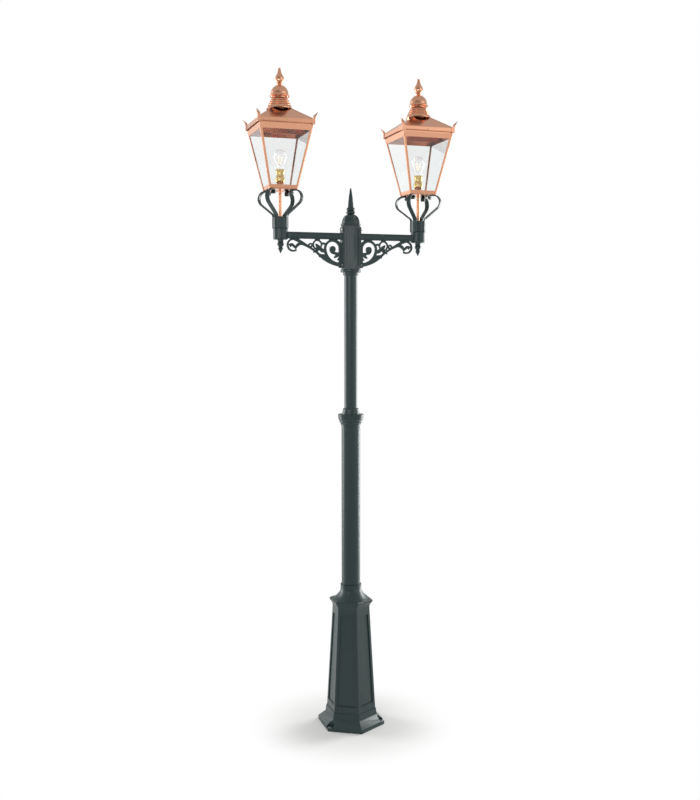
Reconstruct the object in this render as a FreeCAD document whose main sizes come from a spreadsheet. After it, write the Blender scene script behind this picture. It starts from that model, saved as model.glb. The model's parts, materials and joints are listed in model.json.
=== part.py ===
# Twin head lamp post: cast hexagonal pedestal, stepped column, scroll arms and two copper lanterns.
# Millimetres, +Z up, origin at the middle of the pedestal's underside, arms along X, front at -Y.
import FreeCAD, Part
import math
import os
import re
import Sketcher

SIZES = (
    ("pedestal_height", 657, "pedestal, underside to the top of its neck"),
    ("foot_radius", 157, "foot, centre to corner"),
    ("foot_edge", 18, "foot, height of its upright edge"),
    ("foot_top", 45, "foot, level where its slope ends"),
    ("plinth_radius", 122, "plinth, centre to corner at the bottom"),
    ("plinth_top_radius", 118, "plinth, centre to corner at the top"),
    ("plinth_top", 74, "plinth, level of its top"),
    ("shaft_radius", 115, "shaft, centre to corner at the bottom"),
    ("shaft_top_radius", 87, "shaft, centre to corner at the top"),
    ("moulding_height", 28, "top moulding, shaft's top to the lip's underside"),
    ("lip_radius", 102, "top moulding, centre to corner of its lip"),
    ("lip_height", 10, "top moulding, height of the lip"),
    ("lip_slope", 7, "top moulding, run of the slope on the lip"),
    ("shoulder_radius", 82, "round shoulder on the moulding, at its foot"),
    ("shoulder_rise", 39, "round shoulder, height from the lip to the neck"),
    ("shoulder_ratio", 1.8, "round shoulder, radius of its hollow for each mm of its chord"),
    ("neck_radius", 48, "pedestal neck, outside"),
    ("neck_height", 28, "pedestal neck, height"),
    ("pedestal_wall", 8, "pedestal, thickness of its walls"),
    ("seat_floor", 12, "pedestal, floor under the column tube"),
    ("panel_margin", 13, "shaft panels, distance from the corners"),
    ("panel_depth", 4.5, "shaft panels, depth"),
    ("panel_end", 32, "shaft panels, distance from the shaft's ends"),
    ("bolt_circle", 284, "anchor bolts, diameter of their circle"),
    ("corner_floor", 14, "foot, level of the floor in the bolt corners"),
    ("corner_radius", 18, "foot, radius of the bolt corners"),
    ("bush_radius", 7, "anchor bush, outside"),
    ("bush_flange", 10, "anchor bush, radius of its flange"),
    ("bush_flange_height", 2, "anchor bush, height of its flange"),
    ("anchor_bore", 5.5, "anchor bush, radius of its bore"),
    ("lower_tube_radius", 42.8, "lower tube, outside"),
    ("lower_tube_wall", 4, "lower tube, wall"),
    ("lower_tube_length", 845, "lower tube, length"),
    ("upper_tube_radius", 29.5, "upper tube, outside"),
    ("upper_tube_wall", 3.5, "upper tube, wall"),
    ("upper_tube_length", 777, "upper tube, length"),
    ("tube_engagement", 70, "length of tube held in the pedestal or the hub"),
    ("tube_fit", 0.15, "clearance round a tube in its seat"),
    ("collar_skirt", 39, "collar, depth of the skirt over the lower tube"),
    ("collar_rise", 39, "collar, height above the lower tube's end"),
    ("collar_spigot", 92, "collar, depth of the spigot in the lower tube"),
    ("collar_seat", 84, "collar, depth of the upper tube's seat"),
    ("collar_skirt_radius", 45.4, "collar, outside at the skirt's edge"),
    ("collar_step_radius", 51.8, "collar, outside of the lower step"),
    ("collar_band_radius", 58.4, "collar, outside of the wide band"),
    ("collar_top_radius", 35.8, "collar, outside at the top"),
    ("hub_radius", 42, "hub, centre to corner"),
    ("hub_height", 192, "hub, height of its hexagon"),
    ("hub_foot", 26, "hub, depth of the hexagon below the tube's end"),
    ("hub_flange_radius", 46, "hub, radius of the round flange"),
    ("hub_flange_height", 14, "hub, height of the round flange"),
    ("hub_neck_radius", 34.6, "hub, radius of the neck under the flange"),
    ("hub_neck_height", 14, "hub, height of the neck under the flange"),
    ("hub_bore", 20, "hub, radius of the wiring bore"),
    ("hub_panel_width", 24, "hub, width of the panels"),
    ("hub_panel_margin", 11, "hub, panels' distance from its ends"),
    ("hub_panel_depth", 2, "hub, depth of the panels"),
    ("cap_rim_radius", 45.4, "cap, radius of the rim"),
    ("cap_rim_height", 10, "cap, height of the rim"),
    ("cap_dome_radius", 41.5, "cap, centre to corner of the dome's foot"),
    ("cap_top_radius", 15, "cap, centre to corner of the dome's top"),
    ("cap_height", 51, "cap, whole height"),
    ("cap_spigot", 8, "cap, depth of the spigot in the hub"),
    ("spike_bead", 20.6, "spike, radius of the lower bead"),
    ("spike_bead_height", 17, "spike, height of the lower bead"),
    ("spike_collar", 19.3, "spike, radius of the upper bead"),
    ("spike_collar_height", 15, "spike, height of the upper bead"),
    ("spike_waist", 14.5, "spike, radius of the grooves"),
    ("spike_cone", 12.8, "spike, radius of the cone's foot"),
    ("spike_height", 117, "spike, whole height"),
    ("stud_radius", 4, "finials and pendants, radius of the stud"),
    ("stud_length", 10, "finials and pendants, length of the stud"),
    ("grub_radius", 3, "grub screws, radius"),
    ("arm_level", 119.5, "arms, height of the bar's middle above the tube's end"),
    ("arm_reach", 325, "arms, post axis to lantern axis"),
    ("bar_height", 29, "arms, height of the bar"),
    ("bar_depth", 26, "arms, depth of the bar"),
    ("bar_edge", 3, "arms, bevel of the bar's edges"),
    ("bar_panel_depth", 1.5, "arms, depth of the bar's side panel"),
    ("plate_width", 40, "arms, width of the back plate"),
    ("plate_thickness", 8, "arms, thickness of the back plate"),
    ("plate_rise", 43, "arms, back plate above the bar's middle"),
    ("plate_drop", 141, "arms, back plate below the bar's middle"),
    ("plate_screw_radius", 2.5, "arms, radius of the back plate's screws"),
    ("plate_screw_head", 4.5, "arms, radius of the screw heads"),
    ("plate_screw_inset", 14, "arms, screws' distance from the plate's ends"),
    ("plate_screw_spacing", 27, "arms, screws' distance across the plate"),
    ("wire_bore", 7, "arms, radius of the wiring bore"),
    ("cup_radius", 32.8, "cup, outside"),
    ("cup_rise", 27.5, "cup, rim above the bar's middle"),
    ("cup_drop", 20.5, "cup, underside below the bar's middle"),
    ("cup_spigot_radius", 25, "cup, radius of the spigot in the frog"),
    ("cup_spigot_height", 34, "cup, height of the spigot"),
    ("scroll_thickness", 12, "scroll work, thickness of the straps"),
    ("leaf_thickness", 9, "scroll work, thickness of the leaves"),
    ("scroll_sink", 1, "scroll work, depth that it runs into the bar and plate"),
    ("volute_run", 45.6, "large volute, distance from the hub's face"),
    ("volute_radius", 44, "large volute, outside"),
    ("volute_sweep", 75, "large volute, outside of its lower sweep"),
    ("heart_run", 49.6, "volute's heart, distance from the hub's face"),
    ("heart_radius", 29, "volute's heart, radius of its round top"),
    ("heart_drop", 39.5, "volute's heart, depth of its round top's middle below the bar"),
    ("heart_height", 62, "volute's heart, height below its round top"),
    ("heart_sweep", 62, "volute's heart, radius of its lower sweep"),
    ("eye_run", 49.1, "volute eye, distance from the hub's face"),
    ("eye_drop", 43, "volute eye, depth below the bar"),
    ("eye_radius", 14, "volute eye, radius"),
    ("stem_foot", 121, "stem, depth of its foot below the bar"),
    ("stem_foot_width", 14, "stem, width at the foot"),
    ("stem_bend_run", 112.6, "stem, bend's distance from the hub's face"),
    ("stem_bend_drop", 74.5, "stem, depth of its bend below the bar"),
    ("stem_width", 11.5, "stem, width at the bend"),
    ("stem_crest_run", 39.5, "stem, crest's distance from the end volute"),
    ("stem_crest_drop", 27.5, "stem, depth of its crest below the bar"),
    ("stem_lower_curve", 170, "stem, radius of the first curve"),
    ("stem_upper_curve", 190, "stem, radius of the second curve"),
    ("stem_back_curve", 900, "stem, radius of the upper edge"),
    ("hook_run", 13.6, "stem, hook end's distance from the end volute"),
    ("hook_drop", 46.5, "stem, depth of its hook's end below the bar"),
    ("hook_width", 7, "stem, width of the hook"),
    ("end_run", 57.4, "end volute, distance from the lantern's axis"),
    ("end_radius", 29.5, "end volute, outside"),
    ("end_strap", 8, "end volute, width of the strap"),
    ("ring_run", 120.1, "middle ring, distance from the hub's face"),
    ("ring_drop", 24.5, "middle ring, depth of its middle below the bar"),
    ("ring_radius", 22.5, "middle ring, outside"),
    ("ring_strap", 6.6, "middle ring, width of the strap"),
    ("eyelet_lap", 1, "small ring, lap on the middle ring"),
    ("eyelet_drop", 27.5, "small ring, depth below the bar"),
    ("eyelet_radius", 10.3, "small ring, outside"),
    ("eyelet_hole", 4, "small ring, radius of the hole"),
    ("pendant_top", 13, "pendant, radius at the top"),
    ("pendant_bead", 14.8, "pendant, radius of the bead"),
    ("pendant_groove", 8.8, "pendant, radius of the groove"),
    ("pendant_drop", 11.7, "pendant, radius of the drop"),
    ("pendant_length", 60, "pendant, whole length"),
    ("frog_height", 166, "frog, socket's foot to the lantern's floor"),
    ("socket_height", 50, "frog, height of the socket"),
    ("socket_wall", 5.5, "frog, wall of the socket"),
    ("socket_fit", 0.2, "frog, clearance round the cup's spigot"),
    ("strap_width", 20, "frog, width of the straps"),
    ("strap_thickness", 5.5, "frog, thickness of the straps"),
    ("strap_angle", 37, "frog, slope of the straps' straight run in degrees"),
    ("strap_knee", 14, "frog, radius of the bend above the socket"),
    ("strap_bow", 35, "frog, radius of the outer bow"),
    ("strap_flat", 12, "frog, length that bears on the floor"),
    ("strap_curl", 12, "frog, radius of the curl at the end"),
    ("strap_roll", 6, "frog, radius of the rolled end"),
    ("down_tube_radius", 7.5, "down tube, outside"),
    ("down_tube_wall", 1.2, "down tube, wall"),
    ("down_tube_sunk", 20, "down tube, depth in the cup"),
    ("nut_across", 22, "locknut, across its flats"),
    ("nut_height", 5, "locknut, height"),
    ("floor_half", 61.5, "lantern, half width at the floor"),
    ("body_half", 117.4, "lantern, half width at the top rail"),
    ("body_height", 265.5, "lantern, floor to the top of the glazed body"),
    ("sheet", 1.5, "lantern, thickness of the copper sheet"),
    ("solder_gap", 0.1, "lantern, room for solder between sheets"),
    ("tray_height", 17, "lantern, height of the bottom rail"),
    ("bar_leg", 9, "lantern, width of the corner bars' legs"),
    ("rail_height", 21, "lantern, height of the top rail"),
    ("pane_thickness", 3, "lantern, thickness of the glass"),
    ("pane_gap", 0.15, "lantern, clearance of the glass"),
    ("pane_side", 6, "lantern, glass edge to the corner"),
    ("skirt_half", 123.2, "roof, half width of the skirt"),
    ("skirt_level", 271.8, "roof, level of the skirt's lower edge"),
    ("skirt_height", 18, "roof, height of the skirt"),
    ("roof_top_half", 31, "roof, half width at the top"),
    ("roof_rise", 62, "roof, height above the skirt"),
    ("roof_seat_gap", 0.3, "roof, clearance on the top rail"),
    ("vent_radius", 26, "roof, radius of the vent hole"),
    ("knuckle_radius", 4, "hinge, radius of the moving knuckle"),
    ("knuckle_length", 16, "hinge, length of the moving knuckle"),
    ("fixed_knuckle_radius", 3.2, "hinge, radius of the fixed knuckles"),
    ("fixed_knuckle_length", 10, "hinge, length of each fixed knuckle"),
    ("knuckle_gap", 0.4, "hinge, end play of the knuckles"),
    ("hinge_offset", 3.6, "hinge, pin's distance behind the skirt"),
    ("hinge_rise", 4, "hinge, pin's height above the skirt's edge"),
    ("pin_radius", 1.5, "hinge pin, radius"),
    ("pin_fit", 0.05, "hinge pin, clearance"),
    ("lock_radius", 1.6, "lock screw, radius of the shank"),
    ("lock_head", 3.2, "lock screw, radius of the head"),
    ("lock_head_height", 2.4, "lock screw, height of the head"),
    ("lock_clearance", 0.8, "lock screw, tip's distance from the rail"),
    ("horn_hang", 3, "horns, foot below the skirt's lower edge"),
    ("horn_height", 48, "horns, whole height"),
    ("horn_leg", 15, "horns, width of each leaf on the skirt"),
    ("horn_waist", 8.5, "horns, width of each leaf above the skirt"),
    ("horn_belly", 12.5, "horns, width of each leaf at the spearhead"),
    ("horn_lean", 11.3, "horns, tip's reach past the skirt"),
    ("horn_sheet", 1.6, "horns, thickness"),
    ("drum_radius", 44, "chimney drum, outside"),
    ("drum_top", 366, "chimney drum, level of its top"),
    ("bell_rim", 58, "chimney bell, radius of the rim"),
    ("bell_level", 346.1, "chimney bell, level of the rim"),
    ("bell_flare", 8, "chimney bell, height of the flared rim"),
    ("bell_shoulder", 53, "chimney bell, radius above the flare"),
    ("bell_height", 43.1, "chimney bell, height of the bell"),
    ("bell_bead", 1.2, "chimney bell, size of the beads"),
    ("bell_neck", 33, "chimney bell, radius of the neck"),
    ("dome_rim", 44.5, "dome, radius of the rim"),
    ("dome_level", 401, "dome, level of the rim"),
    ("dome_radius", 39, "dome, radius above the rim"),
    ("dome_foot", 9, "dome, height of the flared rim"),
    ("dome_height", 40, "dome, height above the rim"),
    ("dome_top_radius", 9, "dome, radius of the flat at the top"),
    ("finial_neck", 8.5, "finial, radius of the neck"),
    ("finial_bulb", 19.5, "finial, radius of the bulb"),
    ("finial_bulb_rise", 27, "finial, height of the bulb's middle"),
    ("finial_height", 73, "finial, whole height"),
    ("finial_tip", 5.5, "finial, radius near the tip"),
    ("holder_level", 23, "lampholder, level of its foot"),
    ("holder_socket", 10, "lampholder, depth of the tube's seat"),
    ("holder_belly", 21, "lampholder, radius of the belly"),
    ("holder_belly_rise", 29, "lampholder, height of the belly"),
    ("holder_waist", 16.5, "lampholder, radius of the waist"),
    ("holder_waist_rise", 43, "lampholder, height of the waist"),
    ("holder_height", 65, "lampholder, whole height"),
    ("holder_wall", 2, "lampholder, wall"),
    ("ring_rim", 19.5, "lampholder ring, radius of the rim"),
    ("cap_radius", 13, "bulb cap, radius"),
    ("cap_length", 26, "bulb cap, length"),
    ("bulb_radius", 30, "bulb, radius"),
    ("bulb_length", 85, "bulb, height of the glass"),
    ("bulb_neck", 13.5, "bulb, radius of the neck"),
    ("bulb_wall", 1, "bulb, wall of the glass"),
    ("filament_circle", 9, "filaments, radius of their circle"),
    ("filament_radius", 1.2, "filaments, radius"),
    ("filament_foot", 22, "filaments, height of their foot in the bulb"),
    ("filament_length", 36, "filaments, length"),
    ("part_gap", 0.1, "clearance between seated pieces"),
)

# Levels up the post, each worked out from the pieces below it.
LIP_LEVEL = "(pedestal_height - neck_height - shoulder_rise - lip_height)"
SHAFT_TOP = f"({LIP_LEVEL} - moulding_height)"
COLUMN_FOOT = "(pedestal_height - tube_engagement)"
COLLAR_LEVEL = f"({COLUMN_FOOT} + lower_tube_length)"
SLIM_FOOT = f"({COLLAR_LEVEL} - collar_seat)"
HUB_LEVEL = f"({SLIM_FOOT} + upper_tube_length)"
HUB_TOP = "(hub_height - hub_foot)"
ARM_LEVEL = f"({HUB_LEVEL} + arm_level)"
FROG_LEVEL = f"({ARM_LEVEL} + cup_rise)"
LANTERN_LEVEL = f"({FROG_LEVEL} + frog_height)"

doc = FreeCAD.newDocument("TwinHeadLampPost")
sizes = doc.addObject("Spreadsheet::Sheet", "Sizes")
for row, (alias, amount, meaning) in enumerate(SIZES, start=1):
    sizes.set(f"A{row}", meaning)
    sizes.set(f"B{row}", str(amount))
    sizes.setAlias(f"B{row}", alias)
doc.recompute()
ALIASES = {alias for alias, amount, meaning in SIZES}


def cells(formula):
    """The formula with each size name pointed at its cell."""
    return re.sub("[a-z_]+", lambda word: f"Sizes.{word[0]}" if word[0] in ALIASES else word[0], formula)


def worth(formula):
    """Present value of a formula."""
    result = sizes.evalExpression(cells(formula))
    return float(getattr(result, "Value", result))


def bind(feature, prop, formula):
    feature.setExpression(prop, cells(formula))


def new_body(label):
    body = doc.addObject("PartDesign::Body", label)
    body.Label = label
    return body


def place(piece, x="0", y="0", z="0", turn=0):
    """Stands a piece at a point of the post, turned about the vertical."""
    piece.Placement = FreeCAD.Placement(FreeCAD.Vector(), FreeCAD.Rotation(FreeCAD.Vector(0, 0, 1), turn))
    for axis, formula in zip("xyz", (x, y, z)):
        bind(piece, f"Placement.Base.{axis}", formula)
    return piece


def origin(body, role):
    return next(item for item in body.Origin.OriginFeatures if item.Role == role)


def sketch(body, plane, lift="0", across="0", up="0", axis=None, angle="0"):
    """Empty sketch on an origin plane, moved along its normal and in the plane, and tilted about an axis."""
    drawing = body.newObject("Sketcher::SketchObject", "Sketch")
    drawing.AttachmentSupport = [(origin(body, plane), "")]
    drawing.MapMode = "FlatFace"
    if axis:
        turn = FreeCAD.Rotation(FreeCAD.Vector(*axis), worth(angle))
        drawing.AttachmentOffset = FreeCAD.Placement(FreeCAD.Vector(), turn)
        bind(drawing, "AttachmentOffset.Rotation.Angle", angle)
    for letter, formula in zip("xyz", (across, up, lift)):
        bind(drawing, f"AttachmentOffset.Base.{letter}", formula)
    return drawing


def fix(drawing, geometry, end, x, y):
    """Ties one point of a sketch to two formulas."""
    for kind, across_axis, formula in (("DistanceX", -2, x), ("DistanceY", -1, y)):
        if formula == "0":
            drawing.addConstraint(Sketcher.Constraint("PointOnObject", geometry, end, across_axis))
        else:
            rule = Sketcher.Constraint(kind, -1, 1, geometry, end, worth(formula))
            bind(drawing, f"Constraints[{drawing.addConstraint(rule)}]", formula)


def set_radius(drawing, geometry, formula):
    rule = Sketcher.Constraint("Radius", geometry, worth(formula))
    bind(drawing, f"Constraints[{drawing.addConstraint(rule)}]", formula)


def arc_between(start, end, radius, turn):
    """Arc of less than half a circle that turns left or right from start to end."""
    chord = end - start
    rise = math.sqrt(radius ** 2 - (chord.Length / 2) ** 2)
    left = FreeCAD.Vector(-chord.y, chord.x, 0).normalize()
    centre = (start + end) * 0.5 + left * (rise if turn == "left" else -rise)
    first, last = (start, end) if turn == "left" else (end, start)
    angles = [math.atan2(point.y - centre.y, point.x - centre.x) for point in (first, last)]
    return Part.ArcOfCircle(Part.Circle(centre, FreeCAD.Vector(0, 0, 1), radius), *angles)


def outline(drawing, *points):
    """Closed outline through points (x, y). An edge that ends at (x, y, radius, turn) is an arc."""
    corners = [FreeCAD.Vector(worth(point[0]), worth(point[1]), 0) for point in points]
    edges = []
    for index, point in enumerate(points):
        start, end = corners[index - 1], corners[index]
        if len(point) == 2:
            edges.append((drawing.addGeometry(Part.LineSegment(start, end)), 1, 2))
        else:
            arc = drawing.addGeometry(arc_between(start, end, worth(point[2]), point[3]))
            edges.append((arc, 1, 2) if point[3] == "left" else (arc, 2, 1))
    for index, (geometry, first, last) in enumerate(edges):
        before, before_first, before_last = edges[index - 1]
        drawing.addConstraint(Sketcher.Constraint("Coincident", before, before_last, geometry, first))
        fix(drawing, geometry, last, points[index][0], points[index][1])
        if len(points[index]) > 2:
            set_radius(drawing, geometry, points[index][2])
    return drawing


def circle(drawing, x, y, radius):
    centre = FreeCAD.Vector(worth(x), worth(y), 0)
    geometry = drawing.addGeometry(Part.Circle(centre, FreeCAD.Vector(0, 0, 1), worth(radius)))
    fix(drawing, geometry, 3, x, y)
    set_radius(drawing, geometry, radius)
    return drawing


def rectangle(drawing, left, low, right, high):
    return outline(drawing, (left, low), (right, low), (right, high), (left, high))


def square(drawing, half):
    return rectangle(drawing, f"-({half})", f"-({half})", half, half)


def hexagon(drawing, radius):
    """Hexagon with corners on the plane's second axis."""
    corners = [(f"({radius}) * cos({turn})", f"({radius}) * sin({turn})") for turn in range(-90, 270, 60)]
    return outline(drawing, *corners)


def extrude(body, kind, profile, length, side="One side", backwards=False):
    feature = body.newObject(f"PartDesign::{kind}", kind)
    feature.Profile = profile
    feature.SideType = side
    feature.Reversed = backwards
    bind(feature, "Length", length)
    return feature


def pad(body, profile, length, **options):
    return extrude(body, "Pad", profile, length, **options)


def pocket(body, profile, length, **options):
    return extrude(body, "Pocket", profile, length, **options)


def loft(body, kind, shape, sections):
    """Straight loft through sections (size, level) of one shape on the body's XY plane."""
    drawings = [shape(sketch(body, "XY_Plane", lift=level), size) for size, level in sections]
    feature = body.newObject(f"PartDesign::{kind}", kind)
    feature.Profile = drawings[0]
    feature.Sections = drawings[1:]
    feature.Ruled = True
    return feature


def turned(body, *profile, across="0"):
    """Solid of revolution about the vertical, from points (radius, level)."""
    feature = body.newObject("PartDesign::Revolution", "Revolution")
    drawing = outline(sketch(body, "XZ_Plane", across=across), *profile)
    feature.Profile = drawing
    feature.ReferenceAxis = (drawing, ["V_Axis"])
    feature.Angle = 360
    return feature


def polar(body, features, count):
    """Copies of features round the vertical axis."""
    pattern = body.newObject("PartDesign::PolarPattern", "PolarPattern")
    pattern.Originals = features
    pattern.Axis = (origin(body, "Z_Axis"), [""])
    pattern.Angle = 360
    pattern.Occurrences = count
    body.Tip = pattern
    return pattern


def tube(label, radius, wall, length):
    body = new_body(label)
    drawing = circle(sketch(body, "XY_Plane"), "0", "0", radius)
    pad(body, circle(drawing, "0", "0", f"{radius} - {wall}"), length)
    return body


# Grub screws at the rear: (level, surface of the tube, outside of the casting).
GRUB_SEATS = (
    ("(pedestal_height - neck_height / 2)", "lower_tube_radius", "neck_radius"),
    (f"({COLLAR_LEVEL} - collar_skirt * 0.6)", "lower_tube_radius", "collar_step_radius"),
    (f"({COLLAR_LEVEL} + collar_rise * 0.75)", "upper_tube_radius", "collar_top_radius"),
    (f"({HUB_LEVEL} - hub_foot - hub_flange_height - hub_neck_height / 2)", "upper_tube_radius",
     "hub_neck_radius"),
)


def grub_holes(body, level, surface, outside):
    drawing = circle(sketch(body, "XZ_Plane", lift=f"-{surface}"), "0", level, "grub_radius + part_gap")
    pocket(body, drawing, f"{outside} - {surface} + 10")


def neck_screws():
    screws = []
    for level, surface, outside in GRUB_SEATS:
        screw = doc.addObject("Part::Cylinder", "GrubScrew")
        screw.Placement = FreeCAD.Placement(FreeCAD.Vector(),
                                            FreeCAD.Rotation(FreeCAD.Vector(1, 0, 0), -90))
        bind(screw, "Radius", "grub_radius")
        bind(screw, "Height", f"{outside} - {surface} - 2 * part_gap - tube_fit")
        bind(screw, "Placement.Base.y", f"{surface} + tube_fit + part_gap")
        bind(screw, "Placement.Base.z", level)
        screws.append(screw)
    group = doc.addObject("Part::Compound", "neck_screws")
    group.Label = "neck_screws"
    group.Links = screws
    return group


def shaft_inside(level):
    """Radius of the pedestal's hollow at a level: the shaft's taper, one wall further in."""
    taper = f"(shaft_top_radius - shaft_radius) / ({SHAFT_TOP} - plinth_top)"
    return f"(shaft_radius - pedestal_wall / cos(30) + ({level} - plinth_top) * {taper})"


def pedestal():
    body = new_body("pedestal")
    loft(body, "AdditiveLoft", hexagon, (("foot_radius", "0"), ("foot_radius", "foot_edge"),
                                         ("plinth_radius", "foot_top"),
                                         ("plinth_top_radius", "plinth_top")))
    swell = "(lip_radius - shaft_top_radius)"
    lip_top = f"{LIP_LEVEL} + lip_height"
    loft(body, "AdditiveLoft", hexagon, (("shaft_radius", "plinth_top"), ("shaft_top_radius", SHAFT_TOP),
                                         (f"shaft_top_radius + {swell} * 0.1",
                                          f"{SHAFT_TOP} + moulding_height * 0.3"),
                                         (f"shaft_top_radius + {swell} * 0.4",
                                          f"{SHAFT_TOP} + moulding_height * 0.6"),
                                         (f"shaft_top_radius + {swell} * 0.85",
                                          f"{SHAFT_TOP} + moulding_height * 0.85"),
                                         ("lip_radius", LIP_LEVEL),
                                         ("lip_radius", f"{LIP_LEVEL} + lip_height / 2"),
                                         ("lip_radius - lip_slope", lip_top)))
    hollow = "shoulder_ratio * sqrt((shoulder_radius - neck_radius)^2 + shoulder_rise^2)"
    turned(body, ("0", LIP_LEVEL), ("shoulder_radius", LIP_LEVEL), ("shoulder_radius", lip_top),
           ("neck_radius", "pedestal_height - neck_height", hollow, "right"),
           ("neck_radius", "pedestal_height"), ("0", "pedestal_height"))
    hollow_top = f"{COLUMN_FOOT} - seat_floor"
    loft(body, "SubtractiveLoft", hexagon, ((shaft_inside("0"), "0"),
                                            (shaft_inside(hollow_top), hollow_top)))
    seat = sketch(body, "XY_Plane", lift="pedestal_height")
    pocket(body, circle(seat, "0", "0", "lower_tube_radius + tube_fit"), "tube_engagement")
    way = sketch(body, "XY_Plane", lift=COLUMN_FOOT)
    pocket(body, circle(way, "0", "0", "lower_tube_radius - lower_tube_wall"), "2 * seat_floor")
    shaft_panels(body)
    bolt_corners(body)
    grub_holes(body, *GRUB_SEATS[0])
    return body


def shaft_panels(body):
    """Sunk panels on the six tapered faces of the shaft."""
    rise = f"({SHAFT_TOP} - plinth_top)"
    lean = f"atan((shaft_radius - shaft_top_radius) * cos(30) / {rise})"
    face = sketch(body, "YZ_Plane", lift="shaft_radius * cos(30)", up="plinth_top", axis=(1, 0, 0),
                  angle=f"-{lean}")
    side = f"(shaft_radius - shaft_top_radius) / {rise} / 2"
    low = f"panel_end / cos({lean})"
    high = f"({rise} - panel_end) / cos({lean})"
    half_low = f"(shaft_radius / 2 - panel_end * {side} - panel_margin)"
    half_high = f"(shaft_top_radius / 2 + panel_end * {side} - panel_margin)"
    outline(face, (f"-{half_low}", low), (half_low, low), (half_high, high), (f"-{half_high}", high))
    polar(body, [pocket(body, face, "panel_depth")], 6)


def bolt_corners(body):
    """U-shaped floors cut in three corners of the foot's slope, each with a hole for its bush."""
    middle = "bolt_circle / 2"
    corner = sketch(body, "XY_Plane", lift="corner_floor")
    outline(corner, ("-corner_radius", "foot_radius"), ("-corner_radius", middle),
            ("0", f"{middle} - corner_radius", "corner_radius", "left"),
            ("corner_radius", middle, "corner_radius", "left"), ("corner_radius", "foot_radius"))
    clearing = pocket(body, corner, "foot_top", backwards=True)
    hole = circle(sketch(body, "XY_Plane", lift="corner_floor"), "0", middle, "bush_radius + part_gap")
    polar(body, [clearing, pocket(body, hole, "corner_floor")], 3)


def anchor_bushes():
    body = new_body("anchor_bushes")
    middle = "bolt_circle / 2"
    shank = sketch(body, "XY_Plane", lift="corner_floor")
    circle(circle(shank, "0", middle, "bush_radius"), "0", middle, "anchor_bore")
    flange = sketch(body, "XY_Plane", lift="corner_floor")
    circle(circle(flange, "0", middle, "bush_flange"), "0", middle, "anchor_bore")
    features = [pad(body, shank, "corner_floor - 1", backwards=True),
                pad(body, flange, "bush_flange_height")]
    polar(body, features, 3)
    return body


def reducing_collar():
    body = new_body("reducing_collar")
    inside = "lower_tube_radius - lower_tube_wall - tube_fit"
    groove = "lower_tube_radius + tube_fit"
    way = "upper_tube_radius - upper_tube_wall"
    turned(body, (way, "-collar_spigot"), (inside, "-collar_spigot"), (inside, "0"), (groove, "0"),
           (groove, "-collar_skirt"), ("collar_skirt_radius", "-collar_skirt"),
           ("collar_skirt_radius", "-collar_skirt + 4"),
           ("collar_step_radius", "-collar_skirt + 15", "16", "right"),
           ("collar_step_radius + 0.8", "-collar_skirt + 23"),
           ("collar_band_radius - 2", "-collar_skirt + 28"),
           ("collar_band_radius", "-collar_skirt + 47"),
           ("collar_band_radius - 2.5", "-collar_skirt + 51", "3.5", "left"),
           ("collar_top_radius + 3.8", "-collar_skirt + 52"),
           ("collar_top_radius + 3.3", "-collar_skirt + 55"),
           ("collar_top_radius", "collar_rise - 5"),
           ("collar_top_radius - 2.5", "collar_rise", "6", "left"),
           ("upper_tube_radius + tube_fit", "collar_rise"),
           ("upper_tube_radius + tube_fit", "-collar_seat"),
           (way, "-collar_seat"))
    for level, surface, outside in GRUB_SEATS[1:3]:
        grub_holes(body, f"{level} - {COLLAR_LEVEL}", surface, outside)
    return place(body, z=COLLAR_LEVEL)


FACE = "(hub_radius * cos(30))"
PLATE_SCREWS = [(f"{side}plate_screw_spacing / 2", level)
                for side in ("-", "") for level in ("plate_rise - plate_screw_inset",
                                                    "plate_screw_inset - plate_drop")]


def head_hub():
    body = new_body("head_hub")
    pad(body, hexagon(sketch(body, "XY_Plane", lift="-hub_foot"), "hub_radius"), "hub_height")
    flange_foot = "-hub_foot - hub_flange_height"
    seat_depth = "(hub_foot + hub_flange_height + hub_neck_height)"
    turned(body, ("0", f"-{seat_depth}"), ("hub_neck_radius - 2.5", f"-{seat_depth}"),
           ("hub_neck_radius", f"3 - {seat_depth}", "4", "left"), ("hub_neck_radius", flange_foot),
           ("hub_flange_radius - 2", flange_foot),
           ("hub_flange_radius", f"{flange_foot} + 3", "4", "left"),
           ("hub_flange_radius", "-hub_foot - 3"),
           ("hub_flange_radius - 2", "-hub_foot", "4", "left"), ("0", "-hub_foot"))
    seat = circle(sketch(body, "XY_Plane", lift=f"-{seat_depth}"), "0", "0",
                  "upper_tube_radius + tube_fit")
    pocket(body, seat, seat_depth, backwards=True)
    pocket(body, circle(sketch(body, "XY_Plane"), "0", "0", "hub_bore"), "hub_height", backwards=True)
    panels = []
    for turn in (60, 120):
        face = sketch(body, "YZ_Plane", lift=f"{FACE} * cos({turn})", across=f"{FACE} * sin({turn})",
                      axis=(0, 1, 0), angle=str(turn))
        low = "hub_panel_margin - hub_foot"
        high = f"{HUB_TOP} - hub_panel_margin"
        half = "hub_panel_width / 2"
        outline(face, (half, f"{low} + {half}", half, "left"), (half, f"{high} - {half}"),
                ("0", high, half, "left"),
                (f"-{half}", f"{high} - {half}", half, "left"), (f"-{half}", f"{low} + {half}"),
                ("0", low, half, "left"))
        panels.append(pocket(body, face, "hub_panel_depth"))
    polar(body, panels, 2)
    sides = circle(sketch(body, "YZ_Plane"), "0", "arm_level", "wire_bore + part_gap")
    for across, level in PLATE_SCREWS:
        circle(sides, across, f"arm_level + {level}", "plate_screw_radius + part_gap")
    pocket(body, sides, "2 * hub_radius", side="Symmetric")
    level, surface, outside = GRUB_SEATS[3]
    grub_holes(body, f"{level} - {HUB_LEVEL}", surface, outside)
    return place(body, z=HUB_LEVEL)


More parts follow.
